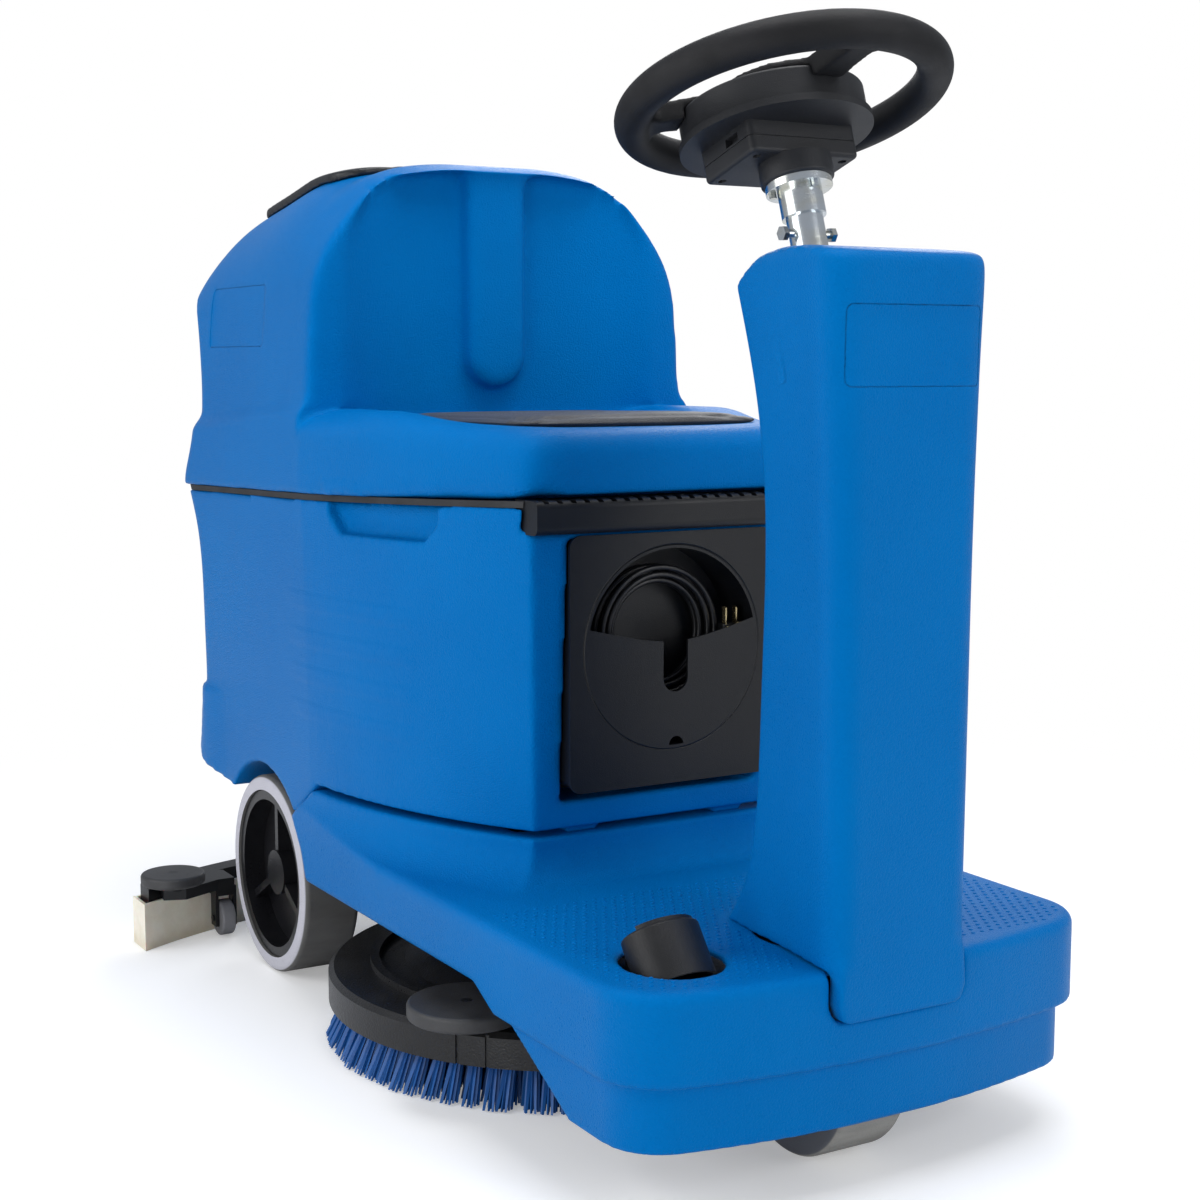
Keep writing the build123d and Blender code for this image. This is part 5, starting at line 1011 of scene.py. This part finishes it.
# %% [markdown]
# ## Brush tufts
# A disc brush is drilled in rings, and each hole holds a tuft of nylon filaments that is bent once at its root. The
# tufts fan out towards the floor, and the outer rings lean out most. One tuft is modelled as eleven thin three-sided
# rods that splay, and it is copied round each ring with its own turn and lean. Real tufts have hundreds of
# filaments, and eleven thicker ones keep the same ragged edge with a few dozen faces.

# %% Brush tufts
brush_low, brush_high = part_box("bristles")
brush_middle = (brush_low + brush_high) / 2
root_z = brush_high.z
shuffle = Random(21)
outer_strands = 10
tuft = bmesh.new()
for strand in range(outer_strands + 1):
    turn = 2 * pi * strand / outer_strands if strand < outer_strands else 0
    out = 0.0032 if strand < outer_strands else 0.0
    root = Vector((out * cos(turn), out * sin(turn), 0))
    splay = shuffle.uniform(1.9, 2.7)
    tip = Vector((splay * root.x, splay * root.y, -1 + shuffle.uniform(0, 0.03)))
    corners = []
    for centre, size in ((root, 0.0023), (root.lerp(tip, 0.55), 0.0023), (tip, 0.0015)):
        corners.append([
            tuft.verts.new((centre.x + size * cos(turn + a), centre.y + size * sin(turn + a), centre.z))
            for a in (0, 2 * pi / 3, 4 * pi / 3)
        ])
    for upper, lower in zip(corners, corners[1:]):
        for side in range(3):
            after = (side + 1) % 3
            tuft.faces.new((upper[side], lower[side], lower[after], upper[after]))
    tuft.faces.new(corners[0])
    tuft.faces.new(reversed(corners[-1]))
tuft_mesh = bpy.data.meshes.new("tuft")
tuft.to_mesh(tuft_mesh)
tuft.free()

# The radius of each ring at the roots and at the tips, and its number of tufts.
brush = bmesh.new()
rings = ((0.2335, 0.2595, 76), (0.2180, 0.2380, 70), (0.2000, 0.2160, 62), (0.1800, 0.1920, 54), (0.1600, 0.1690, 46))
for root_radius, tip_radius, tufts in rings:
    for number in range(tufts):
        angle = 2 * pi * (number + shuffle.uniform(-0.12, 0.12)) / tufts
        outward = Vector((cos(angle), sin(angle), 0))
        across = Vector((-sin(angle), cos(angle), 0))
        lean = (tip_radius - root_radius + shuffle.uniform(-0.0025, 0.0015)) * outward
        lean += shuffle.uniform(-0.003, 0.003) * across
        length = root_z - 0.0006
        base = brush_middle.copy()
        base.z = root_z
        base += root_radius * outward
        frame_of_tuft = Matrix((
            (outward.x, across.x, -lean.x, base.x),
            (outward.y, across.y, -lean.y, base.y),
            (0, 0, length, base.z),
            (0, 0, 0, 1),
        ))
        before = len(brush.verts)
        brush.from_mesh(tuft_mesh)
        brush.verts.ensure_lookup_table()
        bmesh.ops.transform(brush, matrix=frame_of_tuft, verts=brush.verts[before:])
bmesh.ops.recalc_face_normals(brush, faces=brush.faces[:])
brush_tufts = bpy.data.objects.new("brush_tufts", bpy.data.meshes.new("brush_tufts"))
bpy.context.collection.objects.link(brush_tufts)
brush.to_mesh(brush_tufts.data)
brush.free()
dress(brush_tufts, bristle_blue, "bristles", 40)
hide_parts("bristles")
print(sum(ring[2] for ring in rings), "tufts,", triangles(brush_tufts), "triangles")

# %% [markdown]
# ## Seat pad
# The pad is a vinyl cover over 9 mm of foam, stretched down at its edge, so its top is slightly crowned and its
# sides pull in. A copy of the frame's pad is remeshed, and Cloth with a little pressure swells it, while its flat
# back stays pinned to the seat. The swelling is capped, so the pad stays as thin as the real one. A stitched
# line runs round it, sunk where the thread pulls the vinyl down. Last, the pad takes the seat's dish and thins out
# towards its sides.

# %% Seat pad
seat = copy_of("seat_pad", "seat_cushion")
seat_low, seat_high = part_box("seat_pad")
apply_modifier(seat, "REMESH", mode="VOXEL", voxel_size=0.004)
rest_shape = [vertex.co.copy() for vertex in seat.data.vertices]
held = weigh(seat, "held", lambda point, normal: 1.0 if point.z < seat_low.z + 0.0025 else 0.0)
cloth = seat.modifiers.new("cloth", "CLOTH")
cloth.settings.quality = 6
cloth.settings.mass = 0.2
cloth.settings.tension_stiffness = 12
cloth.settings.compression_stiffness = 12
cloth.settings.bending_stiffness = 1.5
cloth.settings.use_pressure = True
cloth.settings.uniform_pressure_force = 4
cloth.settings.vertex_group_mass = held
cloth.settings.effector_weights.gravity = 0
for moment in range(1, 21):
    scene.frame_set(moment)
select_only(seat)
bpy.ops.object.modifier_apply(modifier=cloth.name)
scene.frame_set(1)
cap = 0.004
for vertex, rest in zip(seat.data.vertices, rest_shape):
    moved = vertex.co - rest
    if moved.length > cap:
        vertex.co = rest + cap * moved.normalized()


def edge_distance(point):
    """How far inside the pad's rounded outline a point lies."""
    middle = (seat_low + seat_high) / 2
    half_x, half_y, corner = (seat_high.x - seat_low.x) / 2, (seat_high.y - seat_low.y) / 2, 0.026
    dx = max(abs(point.x - middle.x) - (half_x - corner), 0)
    dy = max(abs(point.y - middle.y) - (half_y - corner), 0)
    if dx or dy:
        return corner - sqrt(dx * dx + dy * dy)
    return min(half_x - abs(point.x - middle.x), half_y - abs(point.y - middle.y))


apply_modifier(seat, "SMOOTH", factor=0.5, iterations=3)
seam_inset, seam_half_width, seam_depth = 0.014, 0.0042, 0.002
crown_height = 0.0015
for vertex in seat.data.vertices:
    x, y, z = vertex.co
    thickness = 1 - 0.42 * min(abs(x) / seat_high.x, 1) ** 4
    inward = edge_distance(vertex.co)
    if z > seat_low.z + 0.004:
        z -= seam_depth * (1 - smooth_step(abs(inward - seam_inset), 0, seam_half_width))
        z += crown_height * smooth_step(inward, seam_inset, 0.08)
    z = seat_low.z + (z - seat_low.z) * thickness
    vertex.co.z = z - seat_dish(x, y)
apply_modifier(seat, "SUBSURF", levels=1, render_levels=1)
dress(seat, seat_vinyl, "seat_pad")
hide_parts("seat_pad")
print("seat pad", triangles(seat), "triangles")

# %% [markdown]
# ## Floor
# The floor is plain and pale. For the camera it adds a little light of its own, so that it reads as white and
# still keeps the machine's shadow, and further off it turns into the white of the sweep.

# %% Floor
floor_finish = Finish("studio_floor", {"Roughness": 0.9, "Specular IOR Level": 0.1})
floor_finish.shader.inputs["Base Color"].default_value = (0.82, 0.82, 0.82, 1)
floor_finish.shader.inputs["Emission Strength"].default_value = 1.0
seen_directly = floor_finish.add("ShaderNodeLightPath", output="Is Camera Ray")
floor_finish.feed("Emission Color", floor_finish.blend(seen_directly, (0, 0, 0, 1), (0.3, 0.3, 0.3, 1)))
floor_x, floor_y = floor_finish.axis("X"), floor_finish.axis("Y")
far_off = ((floor_x * floor_x + floor_y * floor_y) ** 0.5).above(1.25, 1.1)
white = floor_finish.tree.nodes.new("ShaderNodeEmission")
sweep = floor_finish.tree.nodes.new("ShaderNodeMixShader")
floor_finish.tree.links.new((far_off * seen_directly).socket, sweep.inputs["Fac"])
floor_finish.tree.links.new(floor_finish.shader.outputs[0], sweep.inputs[1])
floor_finish.tree.links.new(white.outputs[0], sweep.inputs[2])
floor_finish.tree.links.new(sweep.outputs[0], floor_finish.tree.nodes["Material Output"].inputs["Surface"])
bpy.ops.object.select_all(action="DESELECT")
bpy.ops.mesh.primitive_plane_add(size=14, location=(0, 0, 0))
floor = bpy.context.object
floor.name = "studio_floor"
floor.data.materials.append(floor_finish.material)
print("floor", tuple(floor.dimensions))
